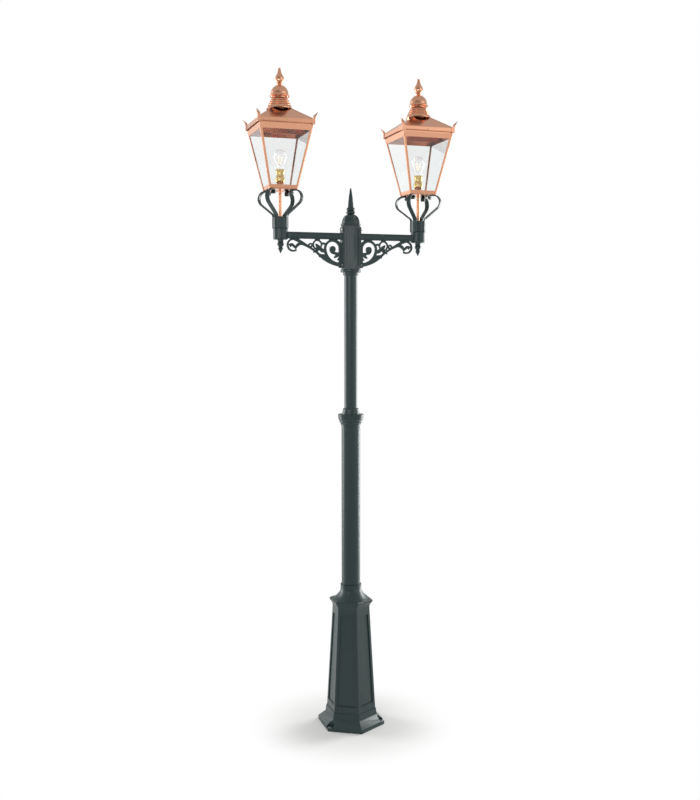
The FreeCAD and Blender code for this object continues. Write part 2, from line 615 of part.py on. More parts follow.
def head_cap():
    body = new_body("head_cap")
    turned(body, ("0", "-cap_spigot"), ("hub_bore - tube_fit", "-cap_spigot"),
           ("hub_bore - tube_fit", "0"),
           ("cap_rim_radius - 2.4", "0"), ("cap_rim_radius", "cap_rim_height / 2", "6.5", "left"),
           ("cap_rim_radius - 2.4", "cap_rim_height", "6.5", "left"), ("0", "cap_rim_height"))
    fall = "(cap_dome_radius - cap_top_radius)"
    rise = "(cap_height - cap_rim_height)"
    steps = [(f"cap_top_radius + {fall} * cos({turn})", f"cap_rim_height + {rise} * sin({turn})")
             for turn in range(0, 91, 15)]
    loft(body, "AdditiveLoft", hexagon, steps)
    stud = circle(sketch(body, "XY_Plane", lift="cap_height"), "0", "0", "stud_radius + part_gap")
    pocket(body, stud, "stud_length + part_gap")
    return place(body, z=f"{HUB_LEVEL} + {HUB_TOP}")


def spike_finial():
    body = new_body("spike_finial")
    middle = "spike_bead_height / 2"
    top = "spike_bead_height + spike_collar_height"
    turned(body, ("0", "-stud_length"), ("stud_radius", "-stud_length"), ("stud_radius", "0"),
           ("spike_waist - 3", "0"),
           ("spike_bead", middle, "11", "left"), ("spike_waist", "spike_bead_height", "11", "left"),
           ("spike_collar", f"spike_bead_height + spike_collar_height / 2", "10", "left"),
           ("spike_cone", top, "10", "left"), ("3", "spike_height - 2", "700", "left"),
           ("1", "spike_height", "2.2", "left"), ("0", "spike_height"))
    return place(body, z=f"{HUB_LEVEL} + {HUB_TOP} + cap_height")


def under(drop):
    """Level of a point below the bar, from the bar's middle."""
    return f"(-bar_height / 2 - ({drop}))"


SPINE = f"({FACE} + plate_thickness - scroll_sink)"


VOLUTE_X = f"({FACE} + volute_run)"
HEART_X = f"({FACE} + heart_run)"
EYE_X = f"({FACE} + eye_run)"
RING_X = f"({FACE} + ring_run)"
EYELET_X = f"({RING_X} + ring_radius + eyelet_radius - eyelet_lap)"
BEND_X = f"({FACE} + stem_bend_run)"
END_X = "(arm_reach - end_run)"
CREST_X = f"({END_X} - stem_crest_run)"
HOOK_X = f"({END_X} - hook_run)"


def strap(body, draw, thickness="scroll_thickness"):
    """One strap or leaf of the scroll work, drawn in the plane of the arm."""
    drawing = sketch(body, "XZ_Plane")
    draw(drawing)
    pad(body, drawing, thickness, side="Symmetric")


def leaf(body, start, end, radius):
    """Pointed leaf between two points (x, drop)."""
    strap(body, lambda drawing: outline(drawing, (end[0], under(end[1]), radius, "left"),
                                        (start[0], under(start[1]), radius, "left")), "leaf_thickness")


def draw_volute(drawing):
    """Large volute: a round top, a wider lower sweep and the open heart inside them."""
    centre = "(volute_radius - scroll_sink)"
    right = f"({VOLUTE_X} + volute_radius)"
    sweep_x = f"({right} - volute_sweep)"
    top = f"sqrt(volute_radius^2 - ({VOLUTE_X} - {SPINE})^2)"
    foot = f"sqrt(volute_sweep^2 - ({sweep_x} - {SPINE})^2)"
    outline(drawing, (SPINE, under(f"{centre} - {top}")),
            (right, under(centre), "volute_radius", "right"),
            (SPINE, under(f"{centre} + {foot}"), "volute_sweep", "right"))
    near = f"({HEART_X} - heart_radius)"
    outline(drawing, (near, under("heart_drop")),
            (HEART_X, under("heart_drop - heart_radius"), "heart_radius", "right"),
            (f"{HEART_X} + heart_radius", under("heart_drop"), "heart_radius", "right"),
            (near, under("heart_drop + heart_height"), "heart_sweep", "right"))


def draw_eye_tail(drawing):
    """Tail that carries the volute's eye from the back plate."""
    outline(drawing, (f"{EYE_X} + eye_radius", under("eye_drop")),
            (f"{EYE_X} - 6", under("eye_drop + eye_radius + 9"), "21", "right"),
            (SPINE, under("eye_drop + eye_radius + 18")), (SPINE, under("eye_drop + eye_radius + 2")),
            (f"{EYE_X} - 11", under("eye_drop + eye_radius - 2")))


def draw_stem(drawing):
    """Main stem: an S from the plate's foot up to the bar, with a hook that bends down to the end volute."""
    outline(drawing, (SPINE, under("stem_foot")),
            (BEND_X, under("stem_bend_drop"), "stem_lower_curve", "left"),
            (CREST_X, under("stem_crest_drop"), "stem_upper_curve", "right"),
            (HOOK_X, under("hook_drop"), "30", "right"),
            (f"{HOOK_X} + hook_width", under("hook_drop - 4")),
            (f"{HOOK_X} - 13", under("stem_crest_drop - 11.5"), "34", "left"),
            (f"{END_X} - 8", under("10")), (f"{END_X} - 8", under("-scroll_sink")),
            (f"{END_X} - 21", under("-scroll_sink")),
            (f"{BEND_X} - stem_width * 0.7", under("stem_bend_drop - stem_width * 0.7"),
             "stem_back_curve", "left"),
            (SPINE, under("stem_foot - stem_foot_width"), "stem_lower_curve - stem_width", "right"))


def draw_end_volute(drawing):
    """End volute: an open ring that hangs from the bar and curls back to the hook."""
    centre = "(end_radius - scroll_sink)"
    inner = "(end_radius - end_strap)"

    def rim(radius, angle):
        return f"{END_X} + {radius} * cos({angle})", under(f"{centre} - {radius} * sin({angle})")

    outline(drawing, rim("end_radius", 117), (*rim("end_radius", 0), "end_radius", "right"),
            (*rim("end_radius", -125), "end_radius", "right"), rim(inner, -125),
            (*rim(inner, 0), inner, "left"), (*rim(inner, 117), inner, "left"))


def draw_end_leaf(drawing):
    """Leaf that arches from the hook into the end volute, with a barb under it."""
    outline(drawing, (f"{END_X} - 9", under("end_radius + 12")),
            (f"{END_X} - 8", under("end_radius + 2")),
            (f"{END_X} + 12", under("end_radius - 9"), "17", "right"),
            (f"{END_X} + 20", under("end_radius - 2"), "11", "right"),
            (f"{END_X} + 12", under("end_radius + 10")), (f"{END_X} + 7", under("end_radius + 3")),
            (f"{END_X} - 1", under("end_radius + 10"), "12", "left"))


def draw_ring(drawing):
    drop = under("ring_drop")
    circle(circle(drawing, RING_X, drop, "ring_radius"), RING_X, drop, "ring_radius - ring_strap")


def draw_eyelet(drawing):
    drop = under("eyelet_drop")
    circle(circle(drawing, EYELET_X, drop, "eyelet_radius"), EYELET_X, drop, "eyelet_hole")


def scroll_work(body):
    """Cast scrolls under the bar, with their lugs, leaves and spurs."""
    strap(body, draw_volute)
    strap(body, draw_stem)
    strap(body, draw_end_volute)
    strap(body, draw_ring)
    strap(body, draw_eyelet)
    for x, half in ((VOLUTE_X, "13"), (RING_X, "11"), (END_X, "14")):
        left, right = f"{x} - {half}", f"{x} + {half}"
        strap(body, lambda drawing: rectangle(drawing, left, under("5"), right, under("-scroll_sink")))
    strap(body, lambda drawing: circle(drawing, f"{SPINE} + 9", under("stem_foot"), "5"))
    strap(body, draw_eye_tail, "leaf_thickness")
    strap(body, lambda drawing: circle(drawing, EYE_X, under("eye_drop"), "eye_radius"))
    strap(body, draw_end_leaf, "leaf_thickness")
    leaf(body, (f"{SPINE} + 10", "eye_drop + 21"), (f"{EYE_X} - 5", "eye_drop + 40"), "25")
    leaf(body, (f"{SPINE} + 9", "eye_drop + 34"), (f"{EYE_X} - 21", "eye_drop + 51"), "18")
    leaf(body, (f"{RING_X} - 18", "ring_drop + 26"), (f"{RING_X} + 9", "ring_drop - 5"), "30")
    leaf(body, (f"{RING_X} + 8", "ring_drop + 31"), (f"{RING_X} - 11", "ring_drop + 13"), "16")
    leaf(body, (f"{RING_X} - 9", "ring_drop + 15"), (f"{RING_X} - 34", "ring_drop + 33"), "18")
    leaf(body, (f"{VOLUTE_X} + volute_radius - 12", "20"), (f"{RING_X} - 15", "18"), "21")
    leaf(body, (f"{BEND_X} - 38", "stem_bend_drop + 11"), (f"{BEND_X} - 11", "stem_bend_drop - 9"), "23")
    leaf(body, (f"{BEND_X} + 14", "stem_bend_drop - 27"), (f"{BEND_X} + 27", "stem_bend_drop - 13"), "13")
    leaf(body, (f"{BEND_X} - 9", "stem_bend_drop - 10"), (f"{BEND_X}", "stem_bend_drop + 7"), "13")


def arm(side, turn):
    """Cast arm: back plate, bar, cup and scroll work in one piece."""
    body = new_body(f"arm_{side}")
    half_height, half_depth = "(bar_height / 2)", "(bar_depth / 2)"
    section = outline(sketch(body, "YZ_Plane", lift=FACE),
                      (f"-{half_depth}", f"bar_edge - {half_height}"),
                      (f"bar_edge - {half_depth}", f"-{half_height}"),
                      (f"{half_depth} - bar_edge", f"-{half_height}"),
                      (half_depth, f"bar_edge - {half_height}"),
                      (half_depth, f"{half_height} - bar_edge"),
                      (f"{half_depth} - bar_edge", half_height),
                      (f"bar_edge - {half_depth}", half_height),
                      (f"-{half_depth}", f"{half_height} - bar_edge"))
    pad(body, section, f"arm_reach - {FACE}")
    plate = sketch(body, "YZ_Plane", lift=FACE)
    pad(body, rectangle(plate, "-plate_width / 2", "-plate_drop", "plate_width / 2", "plate_rise"),
        "plate_thickness")
    spigot_top = "cup_rise + cup_spigot_height"
    turned(body, ("0", "-cup_drop"), ("cup_radius - 5", "-cup_drop"),
           ("cup_radius", "5 - cup_drop", "5", "left"),
           ("cup_radius", "cup_rise"), ("cup_spigot_radius", "cup_rise"),
           ("cup_spigot_radius", spigot_top),
           ("0", spigot_top), across="arm_reach")
    scroll_work(body)
    for back in (False, True):
        lift = f"{half_depth} - bar_panel_depth"
        panel = sketch(body, "XZ_Plane", lift=f"-({lift})" if back else lift)
        rectangle(panel, f"{FACE} + plate_thickness + 8", "bar_edge + 3 - bar_height / 2",
                  "arm_reach - cup_radius - 6", "bar_height / 2 - bar_edge - 3")
        pocket(body, panel, "bar_panel_depth * 2", backwards=not back)
    way = circle(sketch(body, "YZ_Plane", lift=FACE), "0", "0", "wire_bore")
    pocket(body, way, f"arm_reach - {FACE}", backwards=True)
    well = circle(sketch(body, "XY_Plane", lift=spigot_top), "arm_reach", "0",
                  "down_tube_radius + tube_fit")
    pocket(body, well, f"{spigot_top} + wire_bore")
    stud = circle(sketch(body, "XY_Plane", lift="-cup_drop"), "arm_reach", "0", "stud_radius + part_gap")
    pocket(body, stud, "stud_length + part_gap", backwards=True)
    holes = sketch(body, "YZ_Plane", lift=f"{FACE}")
    for across, level in PLATE_SCREWS:
        circle(holes, across, level, "plate_screw_radius + part_gap")
    pocket(body, holes, "plate_thickness", backwards=True)
    return place(body, z=ARM_LEVEL, turn=turn)


def arm_screws(side, turn):
    body = new_body(f"arm_screws_{side}")
    shanks = sketch(body, "YZ_Plane", lift=f"{FACE} + plate_thickness + part_gap")
    heads = sketch(body, "YZ_Plane", lift=f"{FACE} + plate_thickness + part_gap")
    for across, level in PLATE_SCREWS:
        circle(shanks, across, level, "plate_screw_radius")
        circle(heads, across, level, "plate_screw_head")
    pad(body, heads, "plate_screw_radius")
    pad(body, shanks, "plate_thickness * 2", backwards=True)
    return place(body, z=ARM_LEVEL, turn=turn)


def pendant(side, x):
    body = new_body(f"pendant_{side}")
    length = "pendant_length"
    turned(body, ("0", "stud_length"), ("0", f"-{length}"), ("1.5", f"1 - {length}", "1.6", "left"),
           ("pendant_drop - 1", f"-{length} * 0.68"),
           ("pendant_drop - 1", f"-{length} * 0.62", "2.4", "left"),
           ("pendant_groove", f"-{length} * 0.56", "6", "right"),
           ("pendant_groove + 2", f"-{length} * 0.48", "9", "right"),
           ("pendant_bead", f"-{length} * 0.34", "13", "left"),
           ("pendant_top - 2", f"-{length} * 0.2", "10", "left"),
           ("pendant_top", f"-{length} * 0.15"), ("pendant_top", "0"), ("stud_radius", "0"),
           ("stud_radius", "stud_length"))
    return place(body, x=x, z=f"{ARM_LEVEL} - cup_drop")


def frog(side, x):
    """Lantern holder: a socket with four straps that bow out and curl in under the lantern's corners."""
    body = new_body(f"frog_{side}")
    bore = "(cup_spigot_radius + socket_fit)"
    turned(body, (bore, "0"), (f"{bore} + socket_wall", "0"),
           (f"{bore} + socket_wall", "socket_height - 2"),
           (f"{bore} + socket_wall - 2", "socket_height", "2", "left"), (bore, "socket_height"))
    foot = f"({bore} + socket_wall + strap_thickness)"
    thick = "strap_thickness"
    lean = "strap_angle"
    bow_level = "(frog_height - strap_bow)"
    knee_x = f"({foot} + strap_knee * (1 - sin({lean})))"
    knee_z = f"(socket_height + strap_knee * cos({lean}))"
    bow_x = (f"({knee_x} - strap_bow * sin({lean}) + "
             f"({bow_level} - strap_bow * cos({lean}) - {knee_z}) / tan({lean}))")
    flat_x = f"({bow_x} - strap_flat)"
    curl_level = "(frog_height - strap_curl)"
    inner_knee = f"(strap_knee + {thick})"
    inner_bow = f"(strap_bow - {thick})"
    drawing = sketch(body, "XZ_Plane", axis=(0, 1, 0), angle="45")
    outline(drawing, (f"{bore} + 1", "0"), (foot, "0"), (foot, "socket_height"),
            (knee_x, knee_z, "strap_knee", "right"),
            (f"{bow_x} + strap_bow * sin({lean})", f"{bow_level} - strap_bow * cos({lean})"),
            (f"{bow_x} + strap_bow", bow_level, "strap_bow", "left"),
            (bow_x, "frog_height", "strap_bow", "left"), (flat_x, "frog_height"),
            (f"{flat_x} - strap_curl", curl_level, "strap_curl", "left"),
            (f"{flat_x} - strap_curl + {thick}", curl_level),
            (flat_x, f"frog_height - {thick}", f"strap_curl - {thick}", "right"),
            (bow_x, f"frog_height - {thick}"),
            (f"{bow_x} + {inner_bow}", bow_level, inner_bow, "right"),
            (f"{bow_x} + {inner_bow} * sin({lean})", f"{bow_level} - {inner_bow} * cos({lean})",
             inner_bow, "right"),
            (f"{knee_x} - {thick} * sin({lean})", f"{knee_z} + {thick} * cos({lean})"),
            (f"{foot} - {thick}", "socket_height", inner_knee, "left"),
            (f"{bore} + 1", "socket_height - 3"))
    leg = pad(body, drawing, "strap_width", side="Symmetric")
    curl = sketch(body, "XZ_Plane", axis=(0, 1, 0), angle="45")
    circle(curl, f"{flat_x} - strap_curl + strap_roll", f"{curl_level} - strap_roll / 2", "strap_roll")
    roll = pad(body, curl, "strap_width", side="Symmetric")
    polar(body, [leg, roll], 4)
    return place(body, x=x, z=FROG_LEVEL)


def down_tube(side, x):
    length = "down_tube_sunk + frog_height + holder_level + holder_socket - part_gap"
    body = tube(f"down_tube_{side}", "down_tube_radius", "down_tube_wall", length)
    return place(body, x=x, z=f"{FROG_LEVEL} - down_tube_sunk")


def in_lantern(body, x, turn=0):
    """Stands a piece of a lantern on the frog, in the lantern's own frame."""
    return place(body, x=x, z=LANTERN_LEVEL, turn=turn)


def tube_locknut(side, x):
    body = new_body(f"tube_locknut_{side}")
    drawing = hexagon(sketch(body, "XY_Plane", lift="sheet"), "nut_across / 2 / cos(30)")
    pad(body, circle(drawing, "0", "0", "down_tube_radius + part_gap"), "nut_height")
    return in_lantern(body, x)


SLOPE = "((body_half - floor_half) / body_height)"


def half_at(level):
    """Half width of the lantern's tapered body at a level."""
    return f"(floor_half + ({level}) * {SLOPE})"


def floor_tray(side, x):
    """Folded floor with an upstand that stands inside the corner bars."""
    body = new_body(f"floor_tray_{side}")
    inset = "(sheet + solder_gap)"
    loft(body, "AdditiveLoft", square, ((f"floor_half - {inset}", "0"),
                                        (f"{half_at('tray_height')} - {inset}", "tray_height")))
    loft(body, "SubtractiveLoft", square, ((f"{half_at('sheet')} - {inset} - sheet", "sheet"),
                                           (f"{half_at('tray_height')} - {inset} - sheet",
                                            "tray_height")))
    hole = circle(sketch(body, "XY_Plane", lift="sheet"), "0", "0", "down_tube_radius + part_gap")
    pocket(body, hole, "2 * sheet")
    return in_lantern(body, x)


EAVE = "(skirt_level + skirt_height)"
ROOF_SLOPE = "(roof_rise / (skirt_half - roof_top_half))"
ROOF_DROP = f"(sheet * sqrt(1 + {ROOF_SLOPE}^2))"
HINGE_Y = "(skirt_half + hinge_offset)"
HINGE_Z = "(skirt_level + hinge_rise)"


def lantern_frame(side, x):
    """Soldered frame: four folded corner bars, the top rail with its neck, and the fixed hinge knuckles."""
    body = new_body(f"lantern_frame_{side}")
    inset = "sheet"
    loft(body, "AdditiveLoft", square, (("floor_half", "0"), ("body_half", "body_height")))
    neck_top = f"{EAVE} + (skirt_half - body_half) * {ROOF_SLOPE} - {ROOF_DROP} - roof_seat_gap"
    pad(body, square(sketch(body, "XY_Plane", lift="body_height"), "body_half"),
        f"{neck_top} - body_height")
    loft(body, "SubtractiveLoft", square, ((f"floor_half - {inset}", "0"),
                                           (f"body_half - {inset}", "body_height")))
    well = square(sketch(body, "XY_Plane", lift="body_height"), f"body_half - {inset}")
    pocket(body, well, f"{neck_top} - body_height", backwards=True)
    window_top = "(body_height - rail_height)"
    for plane in ("XZ_Plane", "YZ_Plane"):
        low, high = "(floor_half - bar_leg)", f"({half_at(window_top)} - bar_leg)"
        window = outline(sketch(body, plane), (f"-{low}", "0"), (low, "0"), (high, window_top),
                         (f"-{high}", window_top))
        pocket(body, window, "3 * body_half", side="Symmetric")
    hinge_brackets(body)
    return in_lantern(body, x)


def hinge_brackets(body):
    """Two brackets on the rear rail, each ending in a knuckle behind the skirt."""
    for mirrored in (False, True):
        start = "(knuckle_length / 2 + knuckle_gap)"
        lift = f"-{start}" if mirrored else start
        low = "(skirt_level - 10)"
        high = "(skirt_level - 3)"
        arm_face = f"({HINGE_Y} - 0.5)"
        rail = "(body_half - sheet)"
        back = f"({HINGE_Y} + fixed_knuckle_radius)"
        shape = outline(sketch(body, "YZ_Plane", lift=lift), (rail, low), (back, low), (back, HINGE_Z),
                        (arm_face, HINGE_Z),
                        (arm_face, high), (rail, high))
        pad(body, shape, "fixed_knuckle_length", backwards=mirrored)
        knuckle = circle(sketch(body, "YZ_Plane", lift=lift), HINGE_Y, HINGE_Z, "fixed_knuckle_radius")
        pad(body, knuckle, "fixed_knuckle_length", backwards=mirrored)
    bore = circle(sketch(body, "YZ_Plane"), HINGE_Y, HINGE_Z, "pin_radius + pin_fit")
    pocket(body, bore, "knuckle_length + 4 * fixed_knuckle_length", side="Symmetric")


def hinge_pin(side, x):
    body = new_body(f"hinge_pin_{side}")
    drawing = circle(sketch(body, "YZ_Plane"), HINGE_Y, HINGE_Z, "pin_radius")
    pad(body, drawing, "knuckle_length + 2 * (knuckle_gap + fixed_knuckle_length)", side="Symmetric")
    return in_lantern(body, x)


def pane(name, side, x, turn):
    """Tapered pane that stands on the tray's upstand, just behind the corner bars."""
    body = new_body(f"pane_{name}_{side}")
    foot, top = "(tray_height + pane_gap)", "(body_height - pane_gap)"

    def section(drawing, level):
        face = f"({half_at(level)} - sheet - pane_gap)"
        edge = f"({half_at(level)} - pane_side)"
        return rectangle(drawing, f"-{edge}", f"-{face}", edge, f"pane_thickness - {face}")

    loft(body, "AdditiveLoft", section, ((foot, foot), (top, top)))
    return in_lantern(body, x, turn)


def roof(side, x):
    """Hipped sheet roof with an upright skirt and the moving hinge knuckle."""
    body = new_body(f"roof_{side}")
    top = f"({EAVE} + roof_rise)"
    loft(body, "AdditiveLoft", square, (("skirt_half", EAVE), ("roof_top_half", top)))
    skirt = square(sketch(body, "XY_Plane", lift="skirt_level"), "skirt_half")
    pad(body, skirt, "skirt_height")
    fold = f"({EAVE} - {ROOF_DROP} + sheet * {ROOF_SLOPE})"
    loft(body, "SubtractiveLoft", square, (("skirt_half - sheet", fold),
                                           ("roof_top_half", f"{top} - {ROOF_DROP}")))
    well = square(sketch(body, "XY_Plane", lift="skirt_level"), "skirt_half - sheet")
    pocket(body, well, f"{fold} - skirt_level", backwards=True)
    vent = circle(sketch(body, "XY_Plane", lift=top), "0", "0", "vent_radius")
    pocket(body, vent, "roof_rise / 2")
    hole = circle(sketch(body, "XZ_Plane"), "0", "skirt_level + skirt_height / 2",
                  "lock_radius + part_gap")
    pocket(body, hole, "skirt_half + 5", backwards=True)
    knuckle = circle(sketch(body, "YZ_Plane"), HINGE_Y, HINGE_Z, "knuckle_radius")
    pad(body, circle(knuckle, HINGE_Y, HINGE_Z, "pin_radius + pin_fit"), "knuckle_length",
        side="Symmetric")
    return in_lantern(body, x)


def horns(side, x):
    """Folded spearheads on the roof's four corners, with legs on the skirt and heads that lean outwards."""
    body = new_body(f"horns_{side}")

    def section(drawing, stage):
        leg, lean = stage
        inner = f"(skirt_half + solder_gap + {lean})"
        outer = f"({inner} + horn_sheet)"
        back = f"({outer} - ({leg}))"
        return outline(drawing, (back, f"-{outer}"), (outer, f"-{outer}"), (outer, f"-{back}"),
                       (inner, f"-{back}"),
                       (inner, f"-{inner}"), (back, f"-{inner}"))

    foot = "(skirt_level - horn_hang)"
    reach = "(horn_lean - horn_sheet)"
    stages = [((leg, f"{reach} * {lean}"), f"{foot} + horn_height * {rise}")
              for leg, lean, rise in (("horn_leg - 1.5", 0, 0), ("horn_leg", 0, 0.4),
                                      ("horn_waist", 0.06, 0.52),
                                      ("horn_belly", 0.3, 0.7), ("horn_sheet + 0.6", 1, 1))]
    polar(body, [loft(body, "AdditiveLoft", section, stages)], 4)
    return in_lantern(body, x)


def chimney_drum(side, x):
    body = new_body(f"chimney_drum_{side}")
    foot = f"({EAVE} + (skirt_half - drum_radius) * {ROOF_SLOPE})"
    ring = circle(sketch(body, "XY_Plane", lift=foot), "0", "0", "drum_radius")
    pad(body, circle(ring, "0", "0", "drum_radius - sheet"), f"drum_top - {foot}")
    loft(body, "SubtractiveLoft", square, (("skirt_half", f"{EAVE} + part_gap"),
                                           ("roof_top_half", f"{EAVE} + roof_rise + part_gap")))
    return in_lantern(body, x)


def chimney_bell(side, x):
    """Bell over the drum: a flared rim, a beaded slope and a neck that carries the dome."""
    body = new_body(f"chimney_bell_{side}")
    seat = "(drum_top + part_gap)"
    ledge = "(drum_radius + 0.6)"
    well = "(drum_radius - 5)"
    neck_foot = "(bell_level + bell_height)"
    neck_top = f"({dome_inside('bell_neck')} - part_gap)"

    def slope(share):
        radius = f"(bell_shoulder + (bell_neck + 4 - bell_shoulder) * {share})"
        return radius, f"(bell_level + bell_flare + (bell_height - bell_flare) * {share})"

    beads = []
    for share in (0.2, 0.46, 0.72):
        radius, level = slope(share)
        beads += [(radius, level), (f"{radius} + bell_bead", f"{level} + 1.2"),
                  (f"{radius} - bell_bead", f"{level} + 3")]
    turned(body, ("bell_rim - sheet", "bell_level"), ("bell_rim", "bell_level"),
           ("bell_rim", "bell_level + 2.5"),
           (*slope(0), "20", "right"), *beads, slope(1), ("bell_neck", f"{neck_foot} + 5", "8", "right"),
           ("bell_neck", neck_top), ("bell_neck - sheet", neck_top),
           ("bell_neck - sheet", f"{neck_foot} + 3"),
           (well, f"{seat} + 10"), (well, seat), (ledge, seat), (ledge, f"{seat} - sheet"),
           ("bell_shoulder - sheet", "bell_level + bell_flare"))
    return in_lantern(body, x)


# The dome's side is one arc, upright at the rim. Its centre lies near the axis.
DOME_RUN = "(dome_radius - dome_top_radius)"
DOME_BEND = f"(({DOME_RUN}^2 + dome_height^2) / (2 * {DOME_RUN}))"


def dome_inside(radius):
    """Level of the dome's inner face at a radius."""
    return (f"(dome_level + dome_foot + sqrt(({DOME_BEND} - sheet)^2 - "
            f"({radius} - dome_radius + {DOME_BEND})^2))")


def dome_cap(side, x):
    """Spun dome with a flared rim."""
    body = new_body(f"dome_cap_{side}")
    foot = "dome_level + dome_foot"
    top = f"{foot} + dome_height"
    ceiling = dome_inside("dome_top_radius")
    hole = "stud_radius + part_gap"
    turned(body, ("dome_rim - sheet", "dome_level"), ("dome_rim", "dome_level"),
           ("dome_rim", "dome_level + 2"),
           ("dome_radius", foot, "14", "right"), ("dome_top_radius", top, DOME_BEND, "left"), (hole, top),
           (hole, ceiling), ("dome_top_radius", ceiling),
           ("dome_radius - sheet", foot, f"{DOME_BEND} - sheet", "right"),
           ("dome_rim - sheet", "dome_level + 1.5", "16", "left"))
    return in_lantern(body, x)


def finial(side, x):
    """Turned finial: a foot on the dome, a neck, a bulb and a drawn-out tip."""
    body = new_body(f"finial_{side}")
    base = "dome_level + dome_foot + dome_height"
    upper = "(finial_height - finial_bulb_rise)"
    bulb = f"{base} + finial_bulb_rise"
    turned(body, ("0", f"{base} - stud_length"), ("stud_radius", f"{base} - stud_length"),
           ("stud_radius", base),
           ("dome_top_radius + 1", base), ("finial_neck", f"{base} + 6", "12", "right"),
           ("finial_bulb", bulb, "22", "left"),
           ("finial_bulb * 0.62", f"{bulb} + {upper} * 0.37", "26", "left"),
           ("finial_bulb * 0.39", f"{bulb} + {upper} * 0.65", "70", "right"),
           ("finial_tip", f"{bulb} + {upper} * 0.91"), ("1", f"{base} + finial_height", "5.5", "left"),
           ("0", f"{base} + finial_height"))
    return in_lantern(body, x)


def lock_screw(side, x):
    """Knurled brass screw through the front of the skirt."""
    body = new_body(f"lock_screw_{side}")
    level = "skirt_level + skirt_height / 2"
    shank = circle(sketch(body, "XZ_Plane", lift="skirt_half + part_gap"), "0", level, "lock_radius")
    pad(body, shank, "skirt_half - body_half + part_gap - lock_clearance", backwards=True)
    head = circle(sketch(body, "XZ_Plane", lift="skirt_half + part_gap"), "0", level, "lock_head")
    pad(body, head, "lock_head_height")
    return in_lantern(body, x)


HOLDER_TOP = "(holder_level + holder_height)"


def lampholder(side, x):
    """Turned brass holder: a tapered foot on the down tube, a belly, a waist and the cap's barrel."""
    body = new_body(f"lampholder_{side}")
    seat = "(down_tube_radius + part_gap)"
    barrel = "(cap_radius + part_gap + holder_wall)"
    bore = "(cap_radius + part_gap)"
    well = f"({HOLDER_TOP} - cap_length + 2)"
    belly = "holder_level + holder_belly_rise"
    turned(body, (seat, "holder_level"), (f"{seat} + 2", "holder_level"),
           ("holder_belly", f"{belly} - 3", "30", "left"),
           ("holder_belly", f"{belly} + 1"), ("holder_waist", "holder_level + holder_waist_rise - 2",
                                              "14", "right"),
           (barrel, "holder_level + holder_waist_rise - 1"), (barrel, HOLDER_TOP), (bore, HOLDER_TOP),
           (bore, well),
           ("down_tube_radius - down_tube_wall", well),
           ("down_tube_radius - down_tube_wall", "holder_level + holder_socket"),
           (seat, "holder_level + holder_socket"))
    return in_lantern(body, x)


def lampholder_ring(side, x):
    body = new_body(f"lampholder_ring_{side}")
    bore = "(cap_radius + holder_wall + 2 * part_gap)"
    foot = "holder_level + holder_waist_rise"
    turned(body, (bore, foot), ("holder_waist", foot), ("ring_rim", f"{HOLDER_TOP} - 6", "40", "right"),
           ("ring_rim", f"{HOLDER_TOP} + 1"), (bore, f"{HOLDER_TOP} + 1"))
    return in_lantern(body, x)


BULB_LEVEL = f"({HOLDER_TOP} + 2)"


def bulb_cap(side, x):
    body = new_body(f"bulb_cap_{side}")
    turned(body, ("0", f"{BULB_LEVEL} - cap_length + part_gap"),
           ("cap_radius - 3", f"{BULB_LEVEL} - cap_length + part_gap"),
           ("cap_radius", f"{BULB_LEVEL} - cap_length + 3"), ("cap_radius", BULB_LEVEL),
           ("0", BULB_LEVEL))
    return in_lantern(body, x)


def bulb_glass(side, x):
    """Clear pear-shaped bulb, blown thin."""
    body = new_body(f"bulb_glass_{side}")
    foot = f"({BULB_LEVEL} + part_gap)"
    middle = f"({foot} + bulb_length - bulb_radius)"
    inner, neck = "(bulb_radius - bulb_wall)", "(bulb_neck - bulb_wall)"
    waist = f"({foot} + (bulb_length - bulb_radius) * 0.3)"
    turned(body, (neck, foot), ("bulb_neck", foot), ("bulb_neck", f"{foot} + 4"),
           ("bulb_neck + 2", waist, "40", "right"),
           ("bulb_radius", middle, "70", "left"), ("0", f"{foot} + bulb_length", "bulb_radius", "left"),
           ("0", f"{foot} + bulb_length - bulb_wall"), (inner, middle, inner, "right"),
           (f"{neck} + 2", waist, "70 - bulb_wall", "right"),
           (neck, f"{foot} + 4", "40 + bulb_wall", "left"))
    return in_lantern(body, x)


def bulb_filament(side, x):
    """Glass stem with a wheel of slim filaments."""
    body = new_body(f"bulb_filament_{side}")
    foot = f"({BULB_LEVEL} + part_gap)"
    low = f"({foot} + filament_foot)"
    high = f"({low} + filament_length)"
    wheel = "filament_circle + 2 * filament_radius"
    turned(body, ("0", foot), ("7", foot), ("3", f"{foot} + 12"), ("3", low), (wheel, low),
           (wheel, f"{low} + 1"),
           ("1", f"{low} + 1"), ("1", high), (wheel, high), (wheel, f"{high} + 1"), ("0", f"{high} + 1"))
    rod = pad(body, circle(sketch(body, "XY_Plane", lift=f"{low} + 0.5"), "filament_circle", "0",
                           "filament_radius"),
              "filament_length")
    polar(body, [rod], 4)
    return in_lantern(body, x)


def post():
    lower = tube("lower_tube", "lower_tube_radius", "lower_tube_wall", "lower_tube_length")
    upper = tube("upper_tube", "upper_tube_radius", "upper_tube_wall", "upper_tube_length")
    return [pedestal(), anchor_bushes(), place(lower, z=COLUMN_FOOT), reducing_collar(),
            place(upper, z=SLIM_FOOT),
            head_hub(), head_cap(), spike_finial(), neck_screws()]


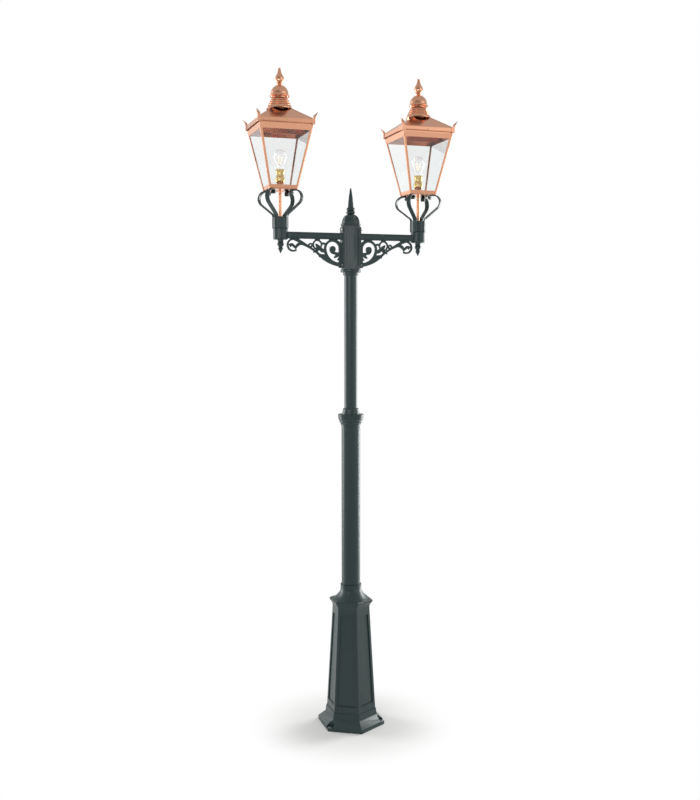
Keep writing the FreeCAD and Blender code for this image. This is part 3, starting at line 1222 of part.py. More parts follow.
def lamp(side, sign):
    """One arm with its lantern. The side's sign gives the direction along X."""
    x = "arm_reach" if sign > 0 else "-arm_reach"
    turn = 0 if sign > 0 else 180
    inner_turn = 270 if sign > 0 else 90
    pieces = [arm(side, turn), arm_screws(side, turn)]
    for make in (pendant, frog, down_tube, tube_locknut, floor_tray, lantern_frame, hinge_pin, lampholder,
                 lampholder_ring, bulb_cap, bulb_glass, bulb_filament, roof, horns, chimney_drum,
                 chimney_bell,
                 dome_cap, finial, lock_screw):
        pieces.append(make(side, x))
    for name, pane_turn in (("front", 0), ("rear", 180), ("inner", inner_turn),
                            ("outer", inner_turn + 180)):
        pieces.append(pane(name, side, x, pane_turn))
    return pieces


pieces = post() + lamp("left", -1) + lamp("right", 1)
doc.recompute()
for item in doc.Objects:
    if "Invalid" in item.State or "Error" in item.State:
        raise RuntimeError(f"{item.Name} of {item.InList[0].Label if item.InList else 'the post'} failed")
for piece in pieces:
    if piece.Shape.isNull() or not piece.Shape.isValid() or not piece.Shape.Solids:
        raise RuntimeError(f"{piece.Label} has no valid solid")
os.makedirs("parts", exist_ok=True)
for piece in pieces:
    piece.Shape.exportStep(f"parts/{piece.Label}.step")
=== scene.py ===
"""Looks of the twin head lamp post: powder-coated castings, copper lanterns, glass and studio."""
import json
import math
from types import SimpleNamespace

import bmesh
import bpy
from mathutils import Matrix, Vector


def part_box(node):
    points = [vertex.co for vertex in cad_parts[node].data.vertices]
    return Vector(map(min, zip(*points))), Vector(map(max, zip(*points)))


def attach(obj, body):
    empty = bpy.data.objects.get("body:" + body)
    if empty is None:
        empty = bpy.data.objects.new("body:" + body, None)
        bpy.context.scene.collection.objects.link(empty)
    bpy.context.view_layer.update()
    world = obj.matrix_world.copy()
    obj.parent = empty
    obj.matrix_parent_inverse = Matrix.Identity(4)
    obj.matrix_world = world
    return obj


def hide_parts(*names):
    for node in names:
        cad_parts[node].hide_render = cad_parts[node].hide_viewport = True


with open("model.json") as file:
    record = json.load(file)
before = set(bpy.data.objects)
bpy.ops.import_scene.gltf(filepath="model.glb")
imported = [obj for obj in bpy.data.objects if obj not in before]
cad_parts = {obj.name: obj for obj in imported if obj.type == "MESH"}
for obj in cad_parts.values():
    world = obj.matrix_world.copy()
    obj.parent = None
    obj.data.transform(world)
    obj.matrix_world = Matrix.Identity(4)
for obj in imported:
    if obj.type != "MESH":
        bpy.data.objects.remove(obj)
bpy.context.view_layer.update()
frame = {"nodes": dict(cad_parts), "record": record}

bl_info = {
    "name": "Twin head lamp post",
    "version": (1, 0, 0),
    "blender": (4, 5, 0),
    "location": "3D View > Sidebar > Lamp post",
    "description": "Dresses the packed lamp post with its finishes and puts it in a studio",
    "category": "Object",
}

SIDES = ("left", "right")
MM = 0.001

# Edges that turn by more than this are rounded. Doubled points and flat edges are cleared first.
EDGE_ANGLE = math.radians(28)
FLAT_ANGLE = math.radians(0.6)
WELD = 0.005 * MM
BUSH_EDGE = 1.2 * MM
# Moulded castings and wires are shaded smooth up to these angles, and castings are softened in rounds.
MOULDED_ANGLE = math.radians(60)
WIRE_ANGLE = math.radians(40)
ARM_ROUNDS = 3
FROG_ROUNDS = 2

# The corner bars stand this far outside the floor tray, and folded corners of the sheet are this round.
TRAY_LAP = 1.6 * MM
FOLD_CORNER = 3 * MM
# The fold at the eaves and the soldered hips are finer than the rolled edges.
FOLD_RADIUS = 1.5 * MM
SEAM_RADIUS = 1.3 * MM
# How far the edges sit in from the sheet's faces, or out from them.
SILL_PROUD = 0.2 * MM
HEM_INSET = 0.6 * MM
FOLD_INSET = 1.1 * MM
HIP_INSET = 1 * MM
# The same as shares of the rolled edge's radius.
BAR_SINK = 0.4
SILL_RISE = 0.5
HEM_RISE = 0.6

# Filament: lit rods that lean outwards round a glass stem, hung between fine lead wires.
STEM_HEIGHT = 22 * MM
STEM_RADIUS = 3.5 * MM
STEM_CLEARANCE = 0.5 * MM
ROD_RADIUS = 0.9 * MM
ROD_FOOT_CIRCLE = 6 * MM
ROD_TOP_CIRCLE = 11 * MM
LEAD_RADIUS = 0.25 * MM
LEAD_CIRCLE = 2 * MM
LEAD_DEPTH = 3 * MM
LEAD_RISE = 2 * MM
LEAD_CLEARANCE = 1 * MM

# Sizes of the finishes' unevenness, and heights of their relief.
COAT_CLOUD = 60 * MM
COAT_PEEL_HEIGHT = 0.012 * MM
SHEET_CLOUD = 40 * MM
SHEET_WAVE = 55 * MM
SHEET_WAVE_HEIGHT = 0.25 * MM
SPIN_HEIGHT = 0.006 * MM
LACQUER_CLOUD = 4 * MM
PLATE_GRAIN = 2 * MM
# Darkest tone of the clouded finishes, as a share of the colour.
COAT_SHADE = 0.88
SHEET_SHADE = (0.95, 0.9, 0.87)
# Brightest and dullest polish of the sheet, as shares of its roughness.
SHEET_POLISH = (0.8, 1.2)
# One cycle of the wave texture's bands is a tenth of pi long at a scale of 1.
WAVE_CYCLE = math.pi / 10

# Cosines of the angle from the middle of a window or of the screen, between which it fades in.
WINDOW_FADE = {"From Min": 0.78, "From Max": 0.97}
SCREEN_FADE = {"From Min": 0.6, "From Max": 0.92}
# Sines of the elevation between which the walls turn into the ceiling.
CEILING_FADE = {"From Min": 0.25, "From Max": 0.75}
# Distances from the post over which the floor fades to white, as seen and as mirrored.
SEEN_FADE = {"From Min": 0.2, "From Max": 0.5}
MIRRORED_FADE = {"From Min": 5.0, "From Max": 11.0}
FLOOR_HALF = 30.0
# The side lights face the column's middle, and the right one is stronger than the left by this factor.
COLUMN_MIDDLE = (0, 0, 1.4)
SIDE_LIGHT_SIZE = (1.3, 2.8)
RIGHT_LIGHT = 1.6
# Enough for light that crosses both faces of several panes on its way in and out of a lantern.
PANE_BOUNCES = 32


def srgb(code):
    """Linear colour of a hex code such as #3A4545."""
    parts = [int(code[index:index + 2], 16) / 255 for index in (1, 3, 5)]
    return [part / 12.92 if part <= 0.04045 else ((part + 0.055) / 1.055) ** 2.4 for part in parts]


def colour(name, words, code):
    """Colour property with a hex default."""
    return bpy.props.FloatVectorProperty(name=name, description=words, subtype="COLOR", size=3,
                                         min=0, max=1, default=srgb(code))


def length(name, words, millimetres):
    """Length property with a default in millimetres."""
    return bpy.props.FloatProperty(name=name, description=words, subtype="DISTANCE", unit="LENGTH",
                                   min=0, default=millimetres * MM, precision=5)


def rotation(name, words, degrees):
    """Angle property with a default in degrees."""
    return bpy.props.FloatProperty(name=name, description=words, subtype="ANGLE",
                                   default=math.radians(degrees))


def amount(name, words, default, top=1.0):
    """Number property from zero to a top value."""
    return bpy.props.FloatProperty(name=name, description=words, min=0, max=top, default=default)


class LampPostFinish(bpy.types.PropertyGroup):
    """Colours and surface sizes of the lamp post."""

    paint: colour("Powder coat", "Dark green-grey coat on the castings and tubes", "#24393A")
    copper: colour("Copper", "Polished copper sheet", "#E1A787")
    brass: colour("Brass", "Lampholders and small screws", "#CDAE6C")
    zinc: colour("Zinc", "Plated screws and bushes", "#C6C8C8")
    filament: colour("Filament", "Lit filaments", "#FFE8C8")
    paint_roughness: amount("Coat roughness", "Roughness of the powder coat", 0.36)
    copper_roughness: amount("Copper roughness", "Roughness of the polished sheet", 0.2)
    paint_grain: length("Coat grain", "Size of the powder coat's fine texture", 2.5)
    spin_pitch: length("Spinning marks", "Pitch of the rings on spun copper", 1.4)
    glow: amount("Filament glow", "Strength of the lit filaments", 1.0, 50.0)
    cast_edge: length("Cast edge", "Radius of the edges of the large castings", 2.0)
    rolled_edge: length("Rolled edge", "Radius of the rolled edges of the copper sheet", 1.8)
    arm_grain: length("Arm detail", "Finest detail kept on the arms' rounded scrolls", 1.4)


class LampPostStage(bpy.types.PropertyGroup):
    """Camera and light of the studio."""

    camera_place: bpy.props.FloatVectorProperty(name="Camera", description="Place of the camera",
                                                subtype="XYZ", unit="LENGTH",
                                                default=(-1.42227, -4.30702, 1.88035))
    camera_yaw: rotation("Yaw", "Turn of the camera towards +X", 18.2284)
    camera_pitch: rotation("Pitch", "Tilt of the camera", -4.69609)
    camera_roll: rotation("Roll", "Roll of the camera", -0.04331)
    lens: bpy.props.FloatProperty(name="Lens", description="Focal length on a sensor 32 mm high", min=1,
                                  default=39.9596)
    backdrop: colour("Backdrop", "Backdrop seen behind the post", "#FFFFFF")
    floor: colour("Floor", "Pale studio floor", "#F4F4F2")
    side_light: amount("Side lights", "Power of the two tall side lights in watts", 62.0, 5000.0)
    front_light: amount("Front light", "Power of the low soft light beside the camera in watts",
                        20.0, 5000.0)
    top_light: amount("Top light", "Power of the overhead light in watts", 50.0, 5000.0)
    walls: amount("Walls", "Brightness of the studio walls in reflections", 0.68, 10.0)
    windows: amount("Windows", "Brightness of the two facing windows in reflections", 1.5, 10.0)
    window_bearing: rotation("Window bearing", "Direction of the front window from +X", -44)
    screen: amount("Dark screen", "Brightness of the dark screen as a share of the walls", 0.42)
    screen_bearing: rotation("Screen bearing", "Direction of the dark screen from +X", -128)
    ceiling: amount("Ceiling", "Brightness of the ceiling as a share of the walls", 0.92)
    fill: amount("Fill", "Brightness of the studio walls on matt surfaces", 0.4, 10.0)


def add(tree, kind, inputs=None, links=None, **settings):
    """Adds a node, with its settings, the values of its inputs and the outputs linked to them."""
    node = tree.nodes.new(kind)
    for name, value in settings.items():
        setattr(node, name, value)
    for socket, value in (inputs or {}).items():
        node.inputs[socket].default_value = value
    for socket, source in (links or {}).items():
        tree.links.new(source, node.inputs[socket])
    return node


def blank(name):
    """New node material: the material, its empty tree and the place on the part in metres."""
    made = bpy.data.materials.new(name)
    made.use_nodes = True
    made.node_tree.nodes.clear()
    return made, made.node_tree, add(made.node_tree, "ShaderNodeTexCoord").outputs["Object"]


def close(tree, shader):
    """Links the shader to the material's output."""
    add(tree, "ShaderNodeOutputMaterial", links={"Surface": shader.outputs["BSDF"]})


def powder_coat(finish):
    """Satin polyester powder coat on cast and drawn aluminium."""
    # Baked powder: an even dark green-grey, and a soft sheen that a fine orange peel breaks up.
    made, tree, place = blank("Satin_powder_coat")
    cloud = add(tree, "ShaderNodeTexNoise", {"Scale": 1 / COAT_CLOUD}, {"Vector": place})
    shade = (*(part * COAT_SHADE for part in finish.paint), 1)
    tone = add(tree, "ShaderNodeMix", {6: shade, 7: (*finish.paint, 1)}, {0: cloud.outputs["Fac"]},
               data_type="RGBA")
    peel = add(tree, "ShaderNodeTexNoise", {"Scale": 1 / finish.paint_grain, "Detail": 1.0},
               {"Vector": place})
    bump = add(tree, "ShaderNodeBump", {"Strength": 1.0, "Distance": COAT_PEEL_HEIGHT},
               {"Height": peel.outputs["Fac"]})
    shader = add(tree, "ShaderNodeBsdfPrincipled",
                 {"Roughness": finish.paint_roughness, "IOR": 1.5},
                 {"Base Color": tone.outputs[2], "Normal": bump.outputs["Normal"]})
    close(tree, shader)
    return made


def copper_sheet(finish):
    """Polished and lacquered copper sheet, folded and soldered by hand."""
    # Rolled sheet: a warm pink metal with slow waves from the folding and a slightly cloudy polish.
    made, tree, place = blank("Polished_copper_sheet")
    cloud = add(tree, "ShaderNodeTexNoise", {"Scale": 1 / SHEET_CLOUD, "Detail": 3.0},
                {"Vector": place})
    shade = (*(part * keep for part, keep in zip(finish.copper, SHEET_SHADE)), 1)
    tone = add(tree, "ShaderNodeMix", {6: shade, 7: (*finish.copper, 1)}, {0: cloud.outputs["Fac"]},
               data_type="RGBA")
    bright, dull = (finish.copper_roughness * share for share in SHEET_POLISH)
    polish = add(tree, "ShaderNodeMapRange", {"To Min": bright, "To Max": dull},
                 {"Value": cloud.outputs["Fac"]})
    waves = add(tree, "ShaderNodeTexNoise", {"Scale": 1 / SHEET_WAVE, "Detail": 0.0}, {"Vector": place})
    bump = add(tree, "ShaderNodeBump", {"Strength": 1.0, "Distance": SHEET_WAVE_HEIGHT},
               {"Height": waves.outputs["Fac"]})
    shader = add(tree, "ShaderNodeBsdfPrincipled", {"Metallic": 1.0},
                 {"Base Color": tone.outputs[2], "Roughness": polish.outputs["Result"],
                  "Normal": bump.outputs["Normal"]})
    close(tree, shader)
    return made


def copper_spun(finish):
    """Copper spun on a lathe and polished."""
    # Spinning leaves fine rings, drawn coarser here than the tool marks so that they show.
    made, tree, place = blank("Spun_copper")
    marks = add(tree, "ShaderNodeTexWave",
                {"Scale": WAVE_CYCLE / finish.spin_pitch, "Distortion": 0.4}, {"Vector": place},
                bands_direction="Z")
    bump = add(tree, "ShaderNodeBump", {"Strength": 1.0, "Distance": SPIN_HEIGHT},
               {"Height": marks.outputs["Fac"]})
    shader = add(tree, "ShaderNodeBsdfPrincipled",
                 {"Metallic": 1.0, "Base Color": (*finish.copper, 1),
                  "Roughness": finish.copper_roughness},
                 {"Normal": bump.outputs["Normal"]})
    close(tree, shader)
    return made


def turned_brass(finish):
    """Turned and lacquered brass."""
    # Bright yellow metal, with a slight unevenness of the lacquer.
    made, tree, place = blank("Turned_brass")
    cloud = add(tree, "ShaderNodeTexNoise", {"Scale": 1 / LACQUER_CLOUD}, {"Vector": place})
    polish = add(tree, "ShaderNodeMapRange", {"To Min": 0.12, "To Max": 0.22},
                 {"Value": cloud.outputs["Fac"]})
    shader = add(tree, "ShaderNodeBsdfPrincipled", {"Metallic": 1.0, "Base Color": (*finish.brass, 1)},
                 {"Roughness": polish.outputs["Result"]})
    close(tree, shader)
    return made


def zinc_plate(finish):
    """Bright zinc plate on steel screws and bushes."""
    # A cool grey metal with a fine, slightly matt grain.
    made, tree, place = blank("Zinc_plate")
    grain = add(tree, "ShaderNodeTexNoise", {"Scale": 1 / PLATE_GRAIN}, {"Vector": place})
    polish = add(tree, "ShaderNodeMapRange", {"To Min": 0.26, "To Max": 0.4},
                 {"Value": grain.outputs["Fac"]})
    shader = add(tree, "ShaderNodeBsdfPrincipled", {"Metallic": 1.0, "Base Color": (*finish.zinc, 1)},
                 {"Roughness": polish.outputs["Result"]})
    close(tree, shader)
    return made


def clear_glass(name, tone):
    """Clear soda-lime glass, drawn flat or blown thin."""
    # Clear, with a slight tone in its depth and sharp reflections.
    made, tree, _ = blank(name)
    shader = add(tree, "ShaderNodeBsdfPrincipled",
                 {"Base Color": (*srgb(tone), 1), "Roughness": 0.0, "IOR": 1.45,
                  "Transmission Weight": 1.0})
    close(tree, shader)
    return made


def lit_filament(finish):
    """Coated filament rod that glows warm."""
    # An even warm glow, pale at its core, that stays below white.
    made, tree, _ = blank("Lit_filament")
    base = (*finish.filament, 1)
    shader = add(tree, "ShaderNodeBsdfPrincipled",
                 {"Base Color": base, "Roughness": 0.4, "Emission Color": base,
                  "Emission Strength": finish.glow})
    close(tree, shader)
    return made


def dress(node, finish_material):
    """Gives a CAD node its finish."""
    mesh = frame["nodes"][node].data
    mesh.materials.clear()
    mesh.materials.append(finish_material)


def body_of(node):
    """Body that a CAD node belongs to."""
    return next(name for name, nodes in frame["record"]["behaviour"]["bodies"].items() if node in nodes)


def stand_in(node, suffix, finish_material):
    """Copy of a CAD node that replaces it, with its own mesh to work on."""
    source = frame["nodes"][node]
    piece = bpy.data.objects.new(f"{node}_{suffix}", source.data.copy())
    bpy.context.scene.collection.objects.link(piece)
    piece.data.materials.clear()
    piece.data.materials.append(finish_material)
    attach(piece, body_of(node))
    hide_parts(node)
    return piece


def apply_modifiers(piece):
    """Bakes a piece's modifiers into its mesh."""
    graph = bpy.context.evaluated_depsgraph_get()
    mesh = bpy.data.meshes.new_from_object(piece.evaluated_get(graph))
    piece.modifiers.clear()
    piece.data = mesh


def smooth_by_angle(piece, angle):
    """Smooth shading with sharp edges above an angle."""
    piece.data.polygons.foreach_set("use_smooth", [True] * len(piece.data.polygons))
    piece.data.set_sharp_from_angle(angle=angle)


def rounded_edges(node, radius, finish_material):
    """Casting with its hard edges rounded."""
    piece = stand_in(node, "cast", finish_material)
    work = bmesh.new()
    work.from_mesh(piece.data)
    bmesh.ops.remove_doubles(work, verts=work.verts, dist=WELD)
    bmesh.ops.dissolve_limit(work, angle_limit=FLAT_ANGLE, verts=work.verts, edges=work.edges)
    work.to_mesh(piece.data)
    work.free()
    smooth_by_angle(piece, EDGE_ANGLE)
    bevel = piece.modifiers.new("Rounding", "BEVEL")
    bevel.width = radius
    bevel.segments = 3
    bevel.limit_method = "ANGLE"
    bevel.angle_limit = EDGE_ANGLE
    bevel.use_clamp_overlap = True
    bevel.harden_normals = True
    apply_modifiers(piece)


def moulded(node, grain, rounds, finish_material):
    """Casting with soft edges all over, remeshed at a fine grain."""
    piece = stand_in(node, "cast", finish_material)
    remesh = piece.modifiers.new("Grain", "REMESH")
    remesh.mode = "VOXEL"
    remesh.voxel_size = grain
    soften = piece.modifiers.new("Soften", "SMOOTH")
    soften.factor = 0.5
    soften.iterations = rounds
    apply_modifiers(piece)
    smooth_by_angle(piece, MOULDED_ANGLE)


def wire(name, paths, radius, finish_material, beside, closed=False):
    """Round wire along straight paths, on the body of the node beside it."""
    curve = bpy.data.curves.new(name, "CURVE")
    curve.dimensions = "3D"
    curve.bevel_depth = radius
    curve.bevel_resolution = 3
    curve.use_fill_caps = True
    for path in paths:
        spline = curve.splines.new("POLY")
        spline.points.add(len(path) - 1)
        spline.points.foreach_set("co", [number for place in path for number in (*place, 1)])
        spline.use_cyclic_u = closed
    drawn = bpy.data.objects.new(name, curve)
    bpy.context.scene.collection.objects.link(drawn)
    mesh = bpy.data.meshes.new_from_object(drawn.evaluated_get(bpy.context.evaluated_depsgraph_get()))
    bpy.data.objects.remove(drawn)
    bpy.data.curves.remove(curve)
    piece = bpy.data.objects.new(name, mesh)
    bpy.context.scene.collection.objects.link(piece)
    mesh.materials.clear()
    mesh.materials.append(finish_material)
    smooth_by_angle(piece, WIRE_ANGLE)
    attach(piece, body_of(beside))
    return piece


def lantern_edges(side):
    """Places of a lantern's edges, from the boxes of its pieces."""
    names = ("floor_tray", "lantern_frame", "pane_front", "roof", "lock_screw", "chimney_drum")
    boxes = {name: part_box(f"{name}_{side}") for name in names}
    low = {name: box[0] for name, box in boxes.items()}
    high = {name: box[1] for name, box in boxes.items()}
    half = {name: (high[name][0] - low[name][0]) / 2 for name in names}
    edges = SimpleNamespace(middle=(high["roof"][0] + low["roof"][0]) / 2)
    # The corner bars lap the tray, and lean out from it to the top rail.
    tray_half, tray_top = half["floor_tray"] + TRAY_LAP, high["floor_tray"][2]
    edges.foot = low["floor_tray"][2]
    edges.head, edges.head_half = high["pane_front"][2], half["lantern_frame"]
    lean = (edges.head_half - tray_half) / (edges.head - tray_top)
    edges.foot_half = tray_half - lean * (tray_top - edges.foot)
    # The lock screw is half way up the skirt, and the drum stands on the roof's slopes.
    edges.skirt_half, edges.skirt_foot = half["roof"], low["roof"][2]
    edges.eave = low["lock_screw"][2] + high["lock_screw"][2] - edges.skirt_foot
    edges.drum_half, edges.drum_foot = half["chimney_drum"], low["chimney_drum"][2]
    return edges


def square_path(middle, half, level, corner):
    """Square of half this size about the lantern's middle, with its corners cut off in two steps."""
    path = []
    for quarter in range(4):
        for turn in (0, 0.5, 1):
            angle = math.pi / 2 * (quarter + turn)
            for_x = (1, -1, -1, 1)[quarter] * (half - corner) + corner * math.cos(angle)
            for_y = (1, 1, -1, -1)[quarter] * (half - corner) + corner * math.sin(angle)
            path.append((middle + for_x, for_y, level))
    return path


class DressOperator:
    """Shared parts of the operators."""

    bl_options = {"REGISTER", "UNDO"}

    @staticmethod
    def finish():
        return bpy.context.scene.lamp_post_finish

    @staticmethod
    def shared(name, make):
        """Material of this name, made once."""
        return bpy.data.materials.get(name) or make()

    def paint(self):
        return self.shared("Satin_powder_coat", lambda: powder_coat(self.finish()))

    def sheet(self):
        return self.shared("Polished_copper_sheet", lambda: copper_sheet(self.finish()))

    def spun(self):
        return self.shared("Spun_copper", lambda: copper_spun(self.finish()))

    def brass(self):
        return self.shared("Turned_brass", lambda: turned_brass(self.finish()))

    def zinc(self):
        return self.shared("Zinc_plate", lambda: zinc_plate(self.finish()))


class LAMPPOST_OT_column(DressOperator, bpy.types.Operator):
    """Pedestal, tubes, collar, hub, cap and spike in their powder coat"""

    bl_idname = "lamppost.column"
    bl_label = "Column"

    def execute(self, context):
        for node in ("pedestal", "reducing_collar", "head_hub", "head_cap"):
            rounded_edges(node, self.finish().cast_edge, self.paint())
        for node in ("lower_tube", "upper_tube", "spike_finial", "neck_screws"):
            dress(node, self.paint())
        return {"FINISHED"}


class LAMPPOST_OT_arms(DressOperator, bpy.types.Operator):
    """Arms with their rounded scroll work, and the pendants under the cups"""

    bl_idname = "lamppost.arms"
    bl_label = "Arms"

    def execute(self, context):
        for side in SIDES:
            moulded(f"arm_{side}", self.finish().arm_grain, ARM_ROUNDS, self.paint())
            dress(f"pendant_{side}", self.paint())
        return {"FINISHED"}


class LAMPPOST_OT_frogs(DressOperator, bpy.types.Operator):
    """Lantern holders with their bent straps"""

    bl_idname = "lamppost.frogs"
    bl_label = "Frogs"

    def execute(self, context):
        for side in SIDES:
            moulded(f"frog_{side}", self.finish().arm_grain, FROG_ROUNDS, self.paint())
        return {"FINISHED"}


class LAMPPOST_OT_lanterns(DressOperator, bpy.types.Operator):
    """Copper bodies: floor, corner bars, down tube and nut"""

    bl_idname = "lamppost.lanterns"
    bl_label = "Lanterns"

    def execute(self, context):
        for side in SIDES:
            for name in ("floor_tray", "lantern_frame", "down_tube"):
                dress(f"{name}_{side}", self.sheet())
            self.rolled_bars(side)
            for name in ("tube_locknut", "hinge_pin"):
                dress(f"{name}_{side}", self.brass())
        return {"FINISHED"}

    def rolled_bars(self, side):
        """Rolled edges of the corner bars and the bottom rail."""
        edges = lantern_edges(side)
        middle = edges.middle
        radius = self.finish().rolled_edge
        low, high = edges.foot_half - radius * BAR_SINK, edges.head_half - radius * BAR_SINK
        paths = [[(middle + x * low, y * low, edges.foot), (middle + x * high, y * high, edges.head)]
                 for x in (-1, 1) for y in (-1, 1)]
        wire(f"bar_rolls_{side}", paths, radius, self.sheet(), f"lantern_frame_{side}")
        level = edges.foot + radius * SILL_RISE
        sill = [square_path(middle, edges.foot_half + SILL_PROUD, level, FOLD_CORNER)]
        wire(f"sill_roll_{side}", sill, radius, self.sheet(), f"floor_tray_{side}", closed=True)


class LAMPPOST_OT_roofs(DressOperator, bpy.types.Operator):
    """Copper roofs with their horns, chimneys and finials"""

    bl_idname = "lamppost.roofs"
    bl_label = "Roofs"

    def execute(self, context):
        for side in SIDES:
            for name in ("roof", "horns", "chimney_drum"):
                dress(f"{name}_{side}", self.sheet())
            for name in ("chimney_bell", "dome_cap", "finial"):
                dress(f"{name}_{side}", self.spun())
            dress(f"lock_screw_{side}", self.brass())
            self.rolled_edges(side)
        return {"FINISHED"}

    def rolled_edges(self, side):
        """Wired lower edge of the skirt, fold at the eaves and soldered hips."""
        node = f"roof_{side}"
        edges = lantern_edges(side)
        middle, half, eave = edges.middle, edges.skirt_half, edges.eave
        radius = self.finish().rolled_edge
        level = edges.skirt_foot + radius * HEM_RISE
        hem = [square_path(middle, half - HEM_INSET, level, FOLD_CORNER)]
        wire(f"skirt_hem_{side}", hem, radius, self.sheet(), node, closed=True)
        fold = [square_path(middle, half - FOLD_INSET, eave - FOLD_INSET, FOLD_CORNER)]
        wire(f"eave_fold_{side}", fold, FOLD_RADIUS, self.sheet(), node, closed=True)
        low, high = half - HIP_INSET, edges.drum_half
        hips = [[(middle + x * low, y * low, eave), (middle + x * high, y * high, edges.drum_foot)]
                for x in (-1, 1) for y in (-1, 1)]
        wire(f"hip_seams_{side}", hips, SEAM_RADIUS, self.sheet(), node)


class LAMPPOST_OT_glazing(DressOperator, bpy.types.Operator):
    """Flat glass in the lanterns' four sides"""

    bl_idname = "lamppost.glazing"
    bl_label = "Glazing"

    def execute(self, context):
        panes = self.shared("Pane_glass", lambda: clear_glass("Pane_glass", "#F6F8F8"))
        for side in SIDES:
            for name in ("front", "rear", "inner", "outer"):
                dress(f"pane_{name}_{side}", panes)
        return {"FINISHED"}


class LAMPPOST_OT_bulbs(DressOperator, bpy.types.Operator):
    """Lampholders and lit bulbs"""

    bl_idname = "lamppost.bulbs"
    bl_label = "Bulbs"

    def execute(self, context):
        bulb = self.shared("Bulb_glass", lambda: clear_glass("Bulb_glass", "#FFFFFF"))
        glow = self.shared("Lit_filament", lambda: lit_filament(self.finish()))
        for side in SIDES:
            for name in ("lampholder", "lampholder_ring", "bulb_cap"):
                dress(f"{name}_{side}", self.brass())
            dress(f"bulb_glass_{side}", bulb)
            self.filaments(side, bulb, glow)
        return {"FINISHED"}

    def filaments(self, side, glass, glow):
        """Glass stem, fine lead wires and slim lit rods, in place of the plain filament."""
        node = f"bulb_filament_{side}"
        (left, _, foot), (right, _, top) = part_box(node)
        middle = (left + right) / 2
        low, high = foot + STEM_HEIGHT, top - LEAD_CLEARANCE
        rods, leads = [], []
        for turn in range(4):
            angle = math.pi / 4 + math.pi / 2 * turn
            x, y = math.cos(angle), math.sin(angle)
            near = (middle + ROD_FOOT_CIRCLE * x, ROD_FOOT_CIRCLE * y, low + LEAD_RISE)
            far = (middle + ROD_TOP_CIRCLE * x, ROD_TOP_CIRCLE * y, high - LEAD_RISE)
            rods.append([near, far])
            leads.append([(middle + LEAD_CIRCLE * x, LEAD_CIRCLE * y, low - LEAD_DEPTH), near])
            leads.append([far, (middle, 0, high)])
        leads.append([(middle, 0, low), (middle, 0, high)])
        lit = wire(f"filament_rods_{side}", rods, ROD_RADIUS, glow, node)
        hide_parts(node)
        wire(f"filament_leads_{side}", leads, LEAD_RADIUS, self.zinc(), node)
        stem = [[(middle, 0, foot + STEM_CLEARANCE), (middle, 0, low)]]
        wire(f"filament_stem_{side}", stem, STEM_RADIUS, glass, node)


class LAMPPOST_OT_fixings(DressOperator, bpy.types.Operator):
    """Screws and bushes in their plating"""

    bl_idname = "lamppost.fixings"
    bl_label = "Fixings"

    def execute(self, context):
        rounded_edges("anchor_bushes", BUSH_EDGE, self.zinc())
        for side in SIDES:
            dress(f"arm_screws_{side}", self.zinc())
        return {"FINISHED"}


def area_light(name, place, target, size, power):
    """Rectangular soft light that faces a point."""
    data = bpy.data.lights.new(name, "AREA")
    data.shape = "RECTANGLE"
    data.size, data.size_y = size
    data.energy = power
    lamp = bpy.data.objects.new(name, data)
    lamp.location = place
    lamp.rotation_euler = (Vector(target) - Vector(place)).to_track_quat("-Z", "Y").to_euler()
    bpy.context.scene.collection.objects.link(lamp)
    return lamp


